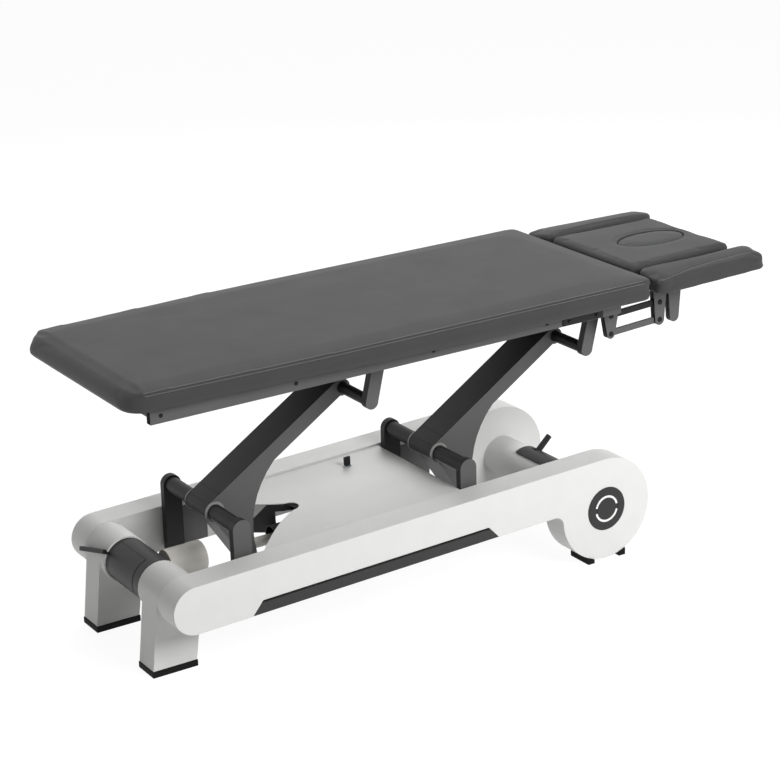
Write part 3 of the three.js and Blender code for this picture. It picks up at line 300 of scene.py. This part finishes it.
cap_low, cap_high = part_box("near_hub_cap")
hub = Vector(((cap_low.x + cap_high.x) / 2, 0, (cap_low.z + cap_high.z) / 2))
cap_radius, cap_seat, cap_face = 0.0645, 0.2973, 0.304
rim_in, rim_fall, arris = 0.0015, 0.0012, 0.0003
groove_in, groove_out, groove_floor = 0.0325, 0.0405, 0.3028
arc_gap, arc_below, arc_sweep = 0.0009, 0.0002, radians(154)
cap_line = [
    (0, cap_seat), (cap_radius, cap_seat), (cap_radius, cap_face - rim_fall),
    (cap_radius - rim_in / 3, cap_face - rim_fall / 3), (cap_radius - rim_in, cap_face),
    (groove_out + arris, cap_face), (groove_out, cap_face - arris), (groove_out, groove_floor),
    (groove_in, groove_floor), (groove_in, cap_face - arris), (groove_in - arris, cap_face),
    (0, cap_face)]
arc_line = [
    (groove_in + arc_gap, groove_floor), (groove_out - arc_gap, groove_floor),
    (groove_out - arc_gap, cap_face - arc_below), (groove_in + arc_gap, cap_face - arc_below)]
for side, sign in (("near", -1), ("far", 1)):
    cap = turned(cap_line, hub, (0, sign, 0))
    shown(cap, side + "_hub_disc", "base", [dark_plastic], (side + "_hub_cap",))
    for which, start in (("upper", radians(13)), ("lower", radians(193))):
        arc = turned(arc_line, hub, (0, sign, 0), closed=True, steps=48,
                     sweep=arc_sweep, start=start)
        shown(arc, f"{side}_hub_arc_{which}", "base", [white_enamel])


# Foot control bars
# A long bar of dark powder-coated aluminium lies in each cover's recess and is pressed with the
# toe. Its ends are cut on the slant. The coat is an even satin with a faint orange-peel skin.
def powder_coat(name, base, shade, low, high):
    """Baked powder on metal: an orange-peel skin, drawn at 2.4 mm, and a slow drift of tone."""
    made, tree, skin = material(name)
    skin.inputs["IOR"].default_value = 1.5
    skin.inputs["Specular IOR Level"].default_value = 0.3
    spot, _ = mottled(tree, skin, 0.09, 4, (base, shade), (low, high))
    peel = add(tree, "ShaderNodeTexNoise", {
        "Vector": spot.outputs["Object"], "Scale": 1 / 0.0024, "Detail": 1})
    relief = add(tree, "ShaderNodeBump", {
        "Height": peel.outputs["Fac"], "Strength": 0.15, "Distance": 0.0003})
    tree.links.new(relief.outputs[0], skin.inputs["Normal"])
    return made


bar_coat = powder_coat("aluminium_powder_coated_dark_grey", "#393939", "#343434", 0.45, 0.58)
for side in ("near", "far"):
    dressed(side + "_control_bar", [bar_coat], 0.0018)


# Foot cross tube and legs
# The steel cross tube and its two welded legs take the load at the foot end. They are coated in
# the covers' white, smooth and a little glossier, and each leg stands in a black rubber shoe.
white_coat = powder_coat("steel_powder_coated_white", "#dcdcda", "#d4d4d2", 0.36, 0.46)
dressed("foot_cross_tube", [white_coat], 0.0035)

black_rubber, tree, skin = material("rubber_black_moulded")
skin.inputs["IOR"].default_value = 1.52
skin.inputs["Specular IOR Level"].default_value = 0.2
_, dust = mottled(tree, skin, 0.02, 5, ("#0c0c0c", "#191919"), (0.7, 0.9))
relief = add(tree, "ShaderNodeBump", {
    "Height": dust.outputs["Fac"], "Strength": 0.3, "Distance": 0.0004})
tree.links.new(relief.outputs[0], skin.inputs["Normal"])
for side in ("near", "far"):
    dressed(side + "_rubber_foot", [black_rubber], 0.002)


# Spine tube
# A wide welded tube, in a warmer white, ties the foot cross tube to the lifting frame.
cream_coat = powder_coat("steel_powder_coated_warm_white", "#d6d3cc", "#cdcac3", 0.34, 0.44)
dressed("spine_tube", [cream_coat], 0.0015)


# Sleeve on the foot cross tube
# A dark moulded sleeve closes over the middle of the tube. It has a turned lip at both ends, and a
# fitted lid on its foot side with a thin black rubber seal round the rim.
sleeve_low, sleeve_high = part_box("foot_sleeve")
foot_axis = Vector(((sleeve_low.x + sleeve_high.x) / 2, 0, (sleeve_low.z + sleeve_high.z) / 2))
sleeve_radius, sleeve_core = 0.062, 0.0403
sleeve_start, sleeve_end, sleeve_arris = -0.098, 0.0908, 0.0012
lip, lip_groove, groove_side, groove_width = 0.006, 0.0006, 0.0004, 0.0016
groove_radius = sleeve_radius - lip_groove
sleeve_line = [
    (sleeve_core, sleeve_start), (sleeve_radius - sleeve_arris, sleeve_start),
    (sleeve_radius, sleeve_start + sleeve_arris), (sleeve_radius, sleeve_start + lip),
    (groove_radius, sleeve_start + lip + groove_side),
    (groove_radius, sleeve_start + lip + groove_width - groove_side),
    (sleeve_radius, sleeve_start + lip + groove_width),
    (sleeve_radius, sleeve_end - lip - groove_width),
    (groove_radius, sleeve_end - lip - groove_width + groove_side),
    (groove_radius, sleeve_end - lip - groove_side), (sleeve_radius, sleeve_end - lip),
    (sleeve_radius, sleeve_end - sleeve_arris), (sleeve_radius - sleeve_arris, sleeve_end),
    (sleeve_core, sleeve_end)]
sleeve = turned(sleeve_line, foot_axis, (0, 1, 0), closed=True)
shown(sleeve, "foot_sleeve_shell", "base", [dark_plastic], ("foot_sleeve",))

# The lid is a grid that is bent round the sleeve; its outermost row of cells becomes the seal.
lid = bmesh.new()
lid_from, lid_to, lid_start, lid_end = radians(105), radians(201), -0.060, 0.0825
lid_sunk, lid_proud, seal, lid_arris = 0.001, 0.0007, 0.0016, 0.0005
lid_rows, lid_columns, reach = 26, 10, sleeve_radius - lid_sunk
bmesh.ops.create_grid(lid, x_segments=lid_rows, y_segments=lid_columns, size=0.5)
seal_turn = seal / sleeve_radius
turn_share, length_share = seal_turn / (lid_to - lid_from), seal / (lid_end - lid_start)


def share_of(position, pieces, edge_share):
    """Draws the outermost row of the grid in to the width of the seal."""
    share = position + 0.5
    if abs(share * pieces - 1) < 0.01:
        return edge_share
    return 1 - edge_share if abs((1 - share) * pieces - 1) < 0.01 else share


for vert in lid.verts:
    angle = lid_from + (lid_to - lid_from) * share_of(vert.co.x, lid_rows, turn_share)
    place = lid_start + (lid_end - lid_start) * share_of(vert.co.y, lid_columns, length_share)
    vert.co = foot_axis + Vector((reach * cos(angle), place, reach * sin(angle)))
bmesh.ops.recalc_face_normals(lid, faces=lid.faces)
if lid.faces[0].normal.dot(lid.faces[0].calc_center_median() - foot_axis) < 0:
    bmesh.ops.reverse_faces(lid, faces=lid.faces)
bmesh.ops.solidify(lid, geom=lid.faces[:], thickness=-(lid_sunk + lid_proud))
bmesh.ops.recalc_face_normals(lid, faces=lid.faces)
rim = [e for e in lid.edges if e.calc_face_angle(0) > radians(60)]
rounded(lid, rim, lid_arris, 2)


def in_seal(face):
    """Says whether a face of the lid lies in the rubber seal round its rim."""
    middle = face.calc_center_median()
    way = middle - foot_axis
    angle = atan2(way.z, way.x) % (2 * pi)
    return int(not (lid_start + seal < middle.y < lid_end - seal
                    and lid_from + seal_turn < angle < lid_to - seal_turn))


shown(lid, "foot_sleeve_lid", "base", [dark_plastic, black_rubber], choose=in_seal)


# Pedal
# A black powder-coated steel bar reaches out beside the sleeve and swings down under the foot.
black_coat = powder_coat("steel_powder_coated_black", "#161617", "#1d1d1e", 0.4, 0.55)
dressed("foot_pedal", [black_coat], 0.0018)


# Head cross tube, saddle and hand lever
# The second cross tube is the larger one and runs between the wheel housings. A dark saddle
# plate lies on its top, and a short black hand lever comes up through a slot in both.
dressed("head_cross_tube", [white_coat], 0.0012)
dressed("head_saddle", [dark_plastic], 0.0012)
dressed("head_lever", [black_coat], 0.001)


# Stand bars
# Black rubber blocks below each wheel housing, on which that end of the table rests.
for side in ("near", "far"):
    for end in ("foot", "head"):
        dressed(f"{side}_stand_bar_{end}", [black_rubber], 0.0015)


# Deck and its opening
# A folded steel lid lies between the beams, coated white. Its foot end is cut out in a rounded
# bay for the arm's crank, and a moulded wall hangs from the edge of that bay; it is dark
# plastic, whose darkness paints the shade inside the bay.
dressed("deck", [white_coat], 0.0007)
dressed("opening_wall", [dark_plastic], 0.0006)


# Key switch
# A zinc-plated barrel set in the deck, turned on a lathe, with a key that has a black moulded bow.
zinc, tree, skin = material("steel_zinc_plated_turned")
skin.inputs["Metallic"].default_value = 1
# The marks of the turning tool are 0.8 mm apart.
mottled(tree, skin, 0.0008, 2, ("#c9ccd0", "#a9adb2"), (0.22, 0.4))
dressed("key_switch", [zinc], 0.0006)
bow_depth = 0.0235
bow_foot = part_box("key")[1].z - bow_depth
dressed("key", [black_coat, zinc], 0.0009,
        choose=lambda face: int(face.calc_center_median().z < bow_foot))


# Cross beam
# The beam under the deck carries the lower end of the drive between two ears.
dark_coat = powder_coat("steel_powder_coated_anthracite", "#5c5c5c", "#565656", 0.45, 0.58)
dressed("cross_beam", [dark_coat], 0.0015)


# Posts
# Each post is a steel block. The face that looks to its side cover is anthracite grey; the
# other faces are painted shade, in the black coat.
def painted_shade_but_outer_face(face):
    """Gives the face that looks away from the middle of the table the first finish, the rest the
    second: painted shade.
    """
    outward = 1 if face.calc_center_median().y > 0 else -1
    return 0 if face.normal.y * outward > 0.6 else 1


for end in ("foot", "head"):
    for side in ("near", "far"):
        dressed(f"{end}_post_{side}", [dark_coat, black_coat], 0.0016,
                choose=painted_shade_but_outer_face)


# Painted shade plates
# A flat anthracite plate stands on the inner face of each side cover beside the posts. The plates
# are dark sheets that paint the shade of the two open bays below the arms.
def block(size, arris):
    """A box about the origin with its edges rounded."""
    bm = bmesh.new()
    bmesh.ops.create_cube(bm, size=1)
    bmesh.ops.scale(bm, vec=size, verts=bm.verts)
    rounded(bm, bm.edges[:], arris, 2)
    return bm


plate_across, plate_thick, plate_arris = 0.2148, 0.0026, 0.0006
for end, foot_end, head_end, low_edge, high_edge in (("foot", -0.662, -0.558, 0.150, 0.262),
                                                     ("head", 0.062, 0.188, 0.160, 0.272)):
    for side, sign in (("near", -1), ("far", 1)):
        plate = block((head_end - foot_end, plate_thick, high_edge - low_edge), plate_arris)
        middle = ((foot_end + head_end) / 2, sign * plate_across, (low_edge + high_edge) / 2)
        bmesh.ops.translate(plate, vec=middle, verts=plate.verts)
        shown(plate, f"{end}_shade_plate_{side}", "base", [dark_coat])


# Pivot tubes
# A black coated tube crosses between each pair of posts and carries an arm. Light nylon thrust
# rings lie against both sides of the arm.
nylon, tree, skin = material("nylon_ring_light_grey")
skin.inputs["IOR"].default_value = 1.53
mottled(tree, skin, 0.008, 3, ("#8d8d8b", "#7d7d7b"), (0.35, 0.5))
tube_coat = powder_coat("steel_powder_coated_near_black", "#262627", "#212122", 0.42, 0.54)
pivot_x, pivot_z = {"foot": -0.673, "head": 0.042}, 0.346
pivot_radius, pivot_half = 0.022, 0.1827
ring_core, ring_radius, ring_from, ring_to, ring_arris = 0.021, 0.029, 0.0556, 0.0586, 0.0006
tube_line = [
    (0, -pivot_half), (pivot_radius, -pivot_half), (pivot_radius, pivot_half), (0, pivot_half)]
ring_line = [
    (ring_core, ring_from), (ring_radius - ring_arris, ring_from),
    (ring_radius, ring_from + ring_arris), (ring_radius, ring_to - ring_arris),
    (ring_radius - ring_arris, ring_to), (ring_core, ring_to)]
for end, x in pivot_x.items():
    middle = Vector((x, 0, pivot_z))
    tube = turned(tube_line, middle, (0, 1, 0), steps=80)
    shown(tube, end + "_pivot_bar", "base", [black_coat], (end + "_pivot_tube",))
    for side, sign in (("near", -1), ("far", 1)):
        ring = turned(ring_line, middle, (0, sign, 0), closed=True, steps=80)
        shown(ring, f"{end}_thrust_ring_{side}", "base", [nylon])


# Lifting arms
# Each arm is a welded box with a curved crank that hangs from its lower end. The side plates are
# anthracite; the folded top and web are painted shade, in near black. A joint crosses the top above
# the hub.
def painted_shade_but_sides(face):
    """Gives the faces that look to the near or the far side the first finish, the rest the second:
    painted shade.
    """
    return 0 if abs(face.normal.y) > 0.6 else 1


arm_angle = radians(32.5)
arm_way = Vector((cos(arm_angle), 0, sin(arm_angle)))
arm_up = Vector((-sin(arm_angle), 0, cos(arm_angle)))
joint_size, joint_arris = (0.0022, 0.1084, 0.0008), 0.0003
joint_ahead, joint_above = 0.040, 0.0282
for end, body in (("foot", "lift_arm"), ("head", "guide_arm")):
    dressed(end + "_arm", [dark_coat, tube_coat], 0.0016, choose=painted_shade_but_sides)
    joint = block(joint_size, joint_arris)
    at = Vector((pivot_x[end], 0, pivot_z)) + arm_way * joint_ahead + arm_up * joint_above
    lean = Matrix.Translation(at) @ Matrix.Rotation(-arm_angle, 4, "Y")
    bmesh.ops.transform(joint, matrix=lean, verts=joint.verts)
    shown(joint, end + "_arm_joint", body, [black_coat])


# Drive
# An electric drive in a black tube pushes a white rod against the pin of the foot crank.
dressed("drive_tube", [dark_plastic], 0.0012)
dressed("drive_rod", [cream_coat], 0.0012)


# Top frame
# Two rails and three crossbars of square steel tube are welded flat under the cushion, and hangers
# lean down from them to the arms. A black plate for accessories is bolted to the near rail.
for node in ("near_rail", "far_rail", "end_crossbar", "middle_crossbar", "head_crossbar"):
    dressed(node, [dark_coat], 0.0009)
for end in ("foot", "head"):
    dressed(end + "_upper_tube", [tube_coat], 0.001)
    for side in ("near", "far"):
        # Their tops and edges are painted shade, in the black coat.
        dressed(f"{end}_hanger_{side}", [dark_coat, black_coat], 0.0016,
                choose=painted_shade_but_sides)
dressed("accessory_plate", [black_coat], 0.0008)


# Rail screws
# Button-head screws in the outer faces of both rails hold the board of the cushion.
button_line = (
    (0, 0), (1, 0), (1, 0.18), (0.86, 0.42), (0.6, 0.56), (0.34, 0.6), (0.3, 0.34), (0, 0.3))


def button_head(name, at, way, radius, body):
    """A round black head with a socket. Its outline is given in shares of its radius."""
    line = [(radius * out, radius * rise) for out, rise in button_line]
    head = turned(line, Vector(at), way, steps=24)
    return shown(head, name, body, [black_coat])


screw_places = (-0.925, -0.54, -0.12, 0.25)
screw_across, screw_height, screw_radius = 0.29, 0.7453, 0.0055
for side, sign in (("near", -1), ("far", 1)):
    for number, x in enumerate(screw_places):
        button_head(f"{side}_rail_screw_{number}", (x, sign * screw_across, screw_height),
                    (0, sign, 0), screw_radius, "top")


# Head frame and armrest linkage
# Laser-cut steel plates: a frame under the centre pad, and on each side two parallel links that
# let the armrest sink and stay level. The pins have black bosses.
dressed("head_frame", [dark_coat], 0.0008)
boss_across, boss_out, boss_radius = 0.240, 0.0095, 0.0075
for side, sign in (("near", -1), ("far", 1)):
    for plate in ("_armrest_bracket", "_armrest_carrier"):
        # Edge faces of the bracket and carrier are painted shade, in the black coat.
        dressed(side + plate, [dark_coat, black_coat], 0.001, choose=painted_shade_but_sides)
    dressed(side + "_lower_link", [dark_coat], 0.0012)
    dressed(side + "_upper_link", [black_coat], 0.0012)
    arm = side + "_armrest"
    for row, body, x, z in (("bracket_low", "top", 0.502, 0.654), ("bracket_high", "top", 0.502, 0.706),
                            ("carrier_low", arm, 0.676, 0.662), ("carrier_high", arm, 0.676, 0.714)):
        for out in (-1, 1):
            which = "in" if out * sign < 0 else "out"
            button_head(f"{side}_{row}_boss_{which}", (x, sign * boss_across + out * boss_out, z),
                        (0, out, 0), boss_radius, body)


# Cushions
# Foam pads on boards, drawn over with a grey artificial leather: polyurethane on knit, embossed
# with a fine pebble grain. It is matt straight on and catches the light softly at a slant.
leather, tree, skin = material("polyurethane_leather_grey_embossed")
skin.inputs["IOR"].default_value = 1.5
skin.inputs["Specular IOR Level"].default_value = 0.5
spot, _ = mottled(tree, skin, 0.12, 4, ("#353536", "#2f2f30"), (0.5, 0.6))
# Real pebbles are 0.8 mm; they are drawn at 1.8 mm.
pebbles = add(tree, "ShaderNodeTexVoronoi", {
    "Vector": spot.outputs["Object"], "Scale": 1 / 0.0018}, feature="SMOOTH_F1")
grain = add(tree, "ShaderNodeBump", {
    "Height": pebbles.outputs["Distance"], "Strength": 0.35, "Distance": 0.0004})
# The cover swells and sinks a little, in hollows about 45 mm across.
swell = add(tree, "ShaderNodeTexNoise", {
    "Vector": spot.outputs["Object"], "Scale": 1 / 0.045, "Detail": 2})
relief = add(tree, "ShaderNodeBump", {
    "Height": swell.outputs["Fac"], "Strength": 0.12, "Distance": 0.004, "Normal": grain.outputs[0]})
tree.links.new(relief.outputs[0], skin.inputs["Normal"])

lining, tree, skin = material("polypropylene_lining_black_nonwoven")
skin.inputs["Roughness"].default_value = 0.9
skin.inputs["Specular IOR Level"].default_value = 0.2
spot = add(tree, "ShaderNodeTexCoord")
# The matted fibres make flecks of about 3 mm.
fibre = add(tree, "ShaderNodeTexNoise", {
    "Vector": spot.outputs["Object"], "Scale": 1 / 0.003, "Detail": 6})
tone = add(tree, "ShaderNodeMix", {
    "Factor": fibre.outputs["Fac"], 6: colour("#121212"), 7: colour("#202020")}, data_type="RGBA")
tree.links.new(tone.outputs[2], skin.inputs["Base Color"])
relief = add(tree, "ShaderNodeBump", {
    "Height": fibre.outputs["Fac"], "Strength": 0.4, "Distance": 0.0006})
tree.links.new(relief.outputs[0], skin.inputs["Normal"])


def blank(node, voxel, drawn_in, held):
    """A pad before it is blown up: the node's form in even cells, drawn in where it is not held."""
    source = frame["nodes"][node]
    for place in source.material_slots:
        place.material = leather
    bm = bmesh.new()
    bm.from_mesh(source.data)
    bmesh.ops.remove_doubles(bm, verts=bm.verts, dist=join_within)
    rough = bpy.data.meshes.new(node + "_rough")
    bm.to_mesh(rough)
    bm.free()
    pad = bpy.data.objects.new(node + "_pad", rough)
    bpy.context.scene.collection.objects.link(pad)
    again = pad.modifiers.new("even_mesh", "REMESH")
    again.mode = "VOXEL"
    again.voxel_size = voxel
    graph = bpy.context.evaluated_depsgraph_get()
    mesh = bpy.data.meshes.new_from_object(pad.evaluated_get(graph), depsgraph=graph)
    pad.modifiers.clear()
    pad.data = mesh
    for vert, normal in zip(mesh.vertices, [v.normal.copy() for v in mesh.vertices]):
        if not held(vert.co):
            vert.co -= normal * drawn_in
    group = pad.vertex_groups.new(name="held")
    group.add([v.index for v in mesh.vertices if held(v.co)], 1.0, "REPLACE")
    return pad


last_frame = 20


def blow_up(pads):
    """Inflates the covers together. Each row is a pad, its pressure and how far a point may move."""
    before = {}
    for pad, pressure, cap in pads:
        cloth = pad.modifiers.new("cover", "CLOTH")
        cloth.settings.quality = 4
        cloth.settings.mass = 0.3
        cloth.settings.tension_stiffness = 18
        cloth.settings.compression_stiffness = 18
        cloth.settings.shear_stiffness = 9
        cloth.settings.bending_stiffness = 0.8
        cloth.settings.use_pressure = True
        cloth.settings.uniform_pressure_force = pressure
        cloth.settings.vertex_group_mass = "held"
        cloth.settings.effector_weights.gravity = 0
        cloth.collision_settings.use_collision = False
        cloth.point_cache.frame_start = 1
        cloth.point_cache.frame_end = last_frame
        before[pad.name] = [v.co.copy() for v in pad.data.vertices]
    for step in range(1, last_frame + 1):
        bpy.context.scene.frame_set(step)
    graph = bpy.context.evaluated_depsgraph_get()
    for pad, pressure, cap in pads:
        after = [v.co.copy() for v in pad.evaluated_get(graph).data.vertices]
        pad.modifiers.clear()
        for vert, old, new in zip(pad.data.vertices, before[pad.name], after):
            move = new - old
            vert.co = old + move * min(1, cap / max(move.length, 1e-9))
    bpy.context.scene.frame_set(1)


def along(points, pitch):
    """Places at an even pitch along a line of points."""
    points = [Vector(p) for p in points]
    out, carry = [], 0.0
    for a, b in zip(points, points[1:]):
        span = (b - a).length
        step = carry
        while step < span:
            out.append(a.lerp(b, step / span))
            step += pitch
        carry = step - span
    return out


def looked_up(marks):
    """A tree that finds the mark nearest to a point."""
    found = KDTree(len(marks))
    for number, mark in enumerate(marks):
        found.insert(mark, number)
    found.balance()
    return found


mark_pitch, seam_reach, opening_margin = 0.004, 0.007, Vector((0.007, 0.007, 0))


def held_down(node, thick, hole=None, seams=()):
    """Says which points stay put: those on the pad's board, by its opening and in its seams."""
    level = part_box(node)[0].z + thick
    marks = [mark for line in seams for mark in along(line, mark_pitch)]
    nearest = looked_up(marks)
    if hole:
        middle, half = (hole[0] + hole[1]) / 2, (hole[1] - hole[0]) / 2 + opening_margin

    def held(point):
        """True for a point that the pressure may not move."""
        if point.z < level or (marks and nearest.find(point)[2] < seam_reach):
            return True
        return bool(hole) and hypot((point.x - middle.x) / half.x, (point.y - middle.y) / half.y) < 1

    return held


half_width, narrower, narrow_from, narrow_over = 0.332, 0.022, -0.430, 0.600


def main_edge(x, inward):
    """How far the main cushion's side lies from the middle; it narrows to the foot end."""
    share = max(0.0, min(1.0, (narrow_from - x) / narrow_over))
    return (half_width - inward) * (1 - share * narrower / half_width)


# The long seams, the rim of the head end and its two corners hold the main cushion's outline.
seam_start, seam_run, seam_steps, seam_height, seam_inward = -0.975, 1.535, 60, 0.8165, 0.001
seam_x = [seam_start + seam_run * k / seam_steps for k in range(seam_steps + 1)]
main_seams = [[(x, sign * main_edge(x, seam_inward), seam_height) for x in seam_x] for sign in (-1, 1)]
cushion_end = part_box("main_cushion")[1].x
rim_x, rim_half, corner_x, corner_half, corner_foot = (
    cushion_end - 0.002, 0.312, cushion_end - 0.005, 0.327, 0.745)
head_rim = [(rim_x, y, seam_height) for y in (-rim_half, rim_half)]
head_corners = [[(corner_x, sign * corner_half, z) for z in (corner_foot, seam_height)]
                for sign in (-1, 1)]
main_pad = blank("main_cushion", voxel=0.008, drawn_in=0.0015,
                 held=held_down("main_cushion", 0.012, seams=main_seams + [head_rim] + head_corners))
head_pad = blank("head_pad", voxel=0.005, drawn_in=0.0015,
                 held=held_down("head_pad", 0.008, hole=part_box("face_plug")))
plug_pad = blank("face_plug", voxel=0.004, drawn_in=0.0005, held=held_down("face_plug", 0.008))
arm_pads = {side: blank(side + "_armrest_pad", voxel=0.005, drawn_in=0.0015,
                        held=held_down(side + "_armrest_pad", 0.008)) for side in ("near", "far")}
blow_up([(main_pad, 4, 0.003), (head_pad, 4, 0.003), (plug_pad, 2, 0.0015),
         (arm_pads["near"], 4, 0.004), (arm_pads["far"], 4, 0.004)])


stitch_pitch, fine_beyond, pucker_share, puckers_per_metre = 0.002, 0.004, 0.35, 90


def sewn(pad, line, reach, depth, cuts):
    """Draws a seam into a pad: the mesh is cut finer along the line, and pulled in towards it."""
    nearest = looked_up(along(line, stitch_pitch))
    bm = bmesh.new()
    bm.from_mesh(pad.data)
    near = {v for v in bm.verts if nearest.find(v.co)[2] < reach * 3 + fine_beyond}
    edges = [e for e in bm.edges if e.verts[0] in near and e.verts[1] in near]
    bmesh.ops.subdivide_edges(bm, edges=edges, cuts=cuts, use_grid_fill=True, smooth=0)
    bm.normal_update()
    moves = []
    for vert in bm.verts:
        gap = nearest.find(vert.co)[2]
        if gap < reach * 3:
            pucker = 1 + pucker_share * noise.noise(vert.co * puckers_per_metre)
            moves.append((vert, vert.normal * depth * pucker * exp(-(gap / reach) ** 2)))
    for vert, move in moves:
        vert.co -= move
    bm.to_mesh(pad.data)
    bm.free()


def covered(pad, body, node):
    """Gives a pad its cover, its lining below, and its place in the table."""
    mesh = pad.data
    mesh.materials.clear()
    mesh.materials.append(leather)
    mesh.materials.append(lining)
    for face in mesh.polygons:
        face.use_smooth = True
        face.material_index = int(face.normal.z < -0.9)
    soft = pad.modifiers.new("soft", "SUBSURF")
    soft.levels = soft.render_levels = 1
    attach(pad, body)
    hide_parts(node)


thread, tree, skin = material("polyester_thread_grey_twisted")
skin.inputs["Roughness"].default_value = 0.6
skin.inputs["Sheen Weight"].default_value = 0.2
spot = add(tree, "ShaderNodeTexCoord")
# The twist of the thread has bands of 1.2 mm.
twist = add(tree, "ShaderNodeTexWave", {
    "Vector": spot.outputs["Object"], "Scale": 1 / 0.0012, "Distortion": 1.5})
tone = add(tree, "ShaderNodeMix", {
    "Factor": twist.outputs["Fac"], 6: colour("#a8a8a8"), 7: colour("#8c8c8c")}, data_type="RGBA")
tree.links.new(tone.outputs[2], skin.inputs["Base Color"])


def stitched(name, pad, body, line, pitch, length, thick):
    """A row of thread stitches along a line, each laid on the cover by a fifth of its thickness."""
    graph = bpy.context.evaluated_depsgraph_get()
    graph.update()
    cover = BVHTree.FromObject(pad, graph)
    row = bmesh.new()
    marks = along(line, pitch)
    for here, ahead in zip(marks, marks[1:]):
        at, normal, _, _ = cover.find_nearest(here)
        way = (ahead - here).normalized()
        side = normal.cross(way).normalized()
        pose = Matrix((way, side, way.cross(side))).transposed().to_4x4()
        bead = bmesh.ops.create_uvsphere(row, u_segments=6, v_segments=4, radius=0.5)["verts"]
        bmesh.ops.scale(row, vec=(length, thick, thick), verts=bead)
        laid = Matrix.Translation(at + normal * thick * 0.2) @ pose
        bmesh.ops.transform(row, matrix=laid, verts=bead)
    return shown(row, name, body, [thread], sharp=80)


# Main cushion seams
# The top panel meets the side bands in a felled seam with two rows of stitches. It runs along
# both long sides and stops before the foot end, where the cover is drawn round in one piece.
def laid_on(pad, line, pitch):
    """Places at an even pitch along a line, each moved to the nearest point of a pad's surface."""
    surface = BVHTree.FromObject(pad, bpy.context.evaluated_depsgraph_get())
    return [surface.find_nearest(place)[0] for place in along(line, pitch)]


for line in [laid_on(main_pad, line, 0.01) for line in main_seams]:
    sewn(main_pad, line, reach=0.0024, depth=0.0018, cuts=3)
covered(main_pad, "top", "main_cushion")
for side, sign in (("near", -1), ("far", 1)):
    for row, z, inward in (("upper", 0.8215, 0.004), ("lower", 0.8115, 0.0)):
        line = [(x, sign * main_edge(x, inward), z) for x in seam_x]
        stitched(f"{side}_main_stitches_{row}", main_pad, "top", line,
                 pitch=0.0062, length=0.0044, thick=0.0012)


# Centre pad and plug
# The centre pad tilts with the head frame. Its face opening is filled by a loose oval plug.
covered(head_pad, "head_rest", "head_pad")
covered(plug_pad, "plug", "face_plug")


# Armrest pads
# Each pad slopes outwards. Its seam runs in from the head end along the outer top edge and turns
# down over the foot end.
armrest_low, armrest_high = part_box("far_armrest_pad")
armrest_narrower, top_seam = 0.022, 0.050
# Each row is a share of the pad's length from its foot end, the way in from its outer edge, and
# the height above its underside.
armrest_seam = ((0.13, 0.030, 0.004), (0.09, 0.028, 0.016), (0.05, 0.024, 0.030), (0.03, 0.020, 0.042),
                (0.05, 0.014, top_seam), (0.12, 0.010, top_seam), (0.22, 0.020, top_seam),
                (0.35, 0.030, top_seam), (0.55, 0.034, top_seam), (0.80, 0.034, top_seam),
                (0.92, 0.034, top_seam))
for side, sign in (("near", -1), ("far", 1)):
    pad, guide = arm_pads[side], []
    for share, inward, height in armrest_seam:
        x = armrest_low.x + (armrest_high.x - armrest_low.x) * share
        outer = armrest_high.y - armrest_narrower * share
        guide.append((x, sign * (outer - inward), armrest_low.z + height))
    line = laid_on(pad, guide, 0.008)
    sewn(pad, line, reach=0.0022, depth=0.0014, cuts=2)
    covered(pad, side + "_armrest", side + "_armrest_pad")
    stitched(side + "_armrest_stitches", pad, side + "_armrest", line,
             pitch=0.0056, length=0.004, thick=0.0011)
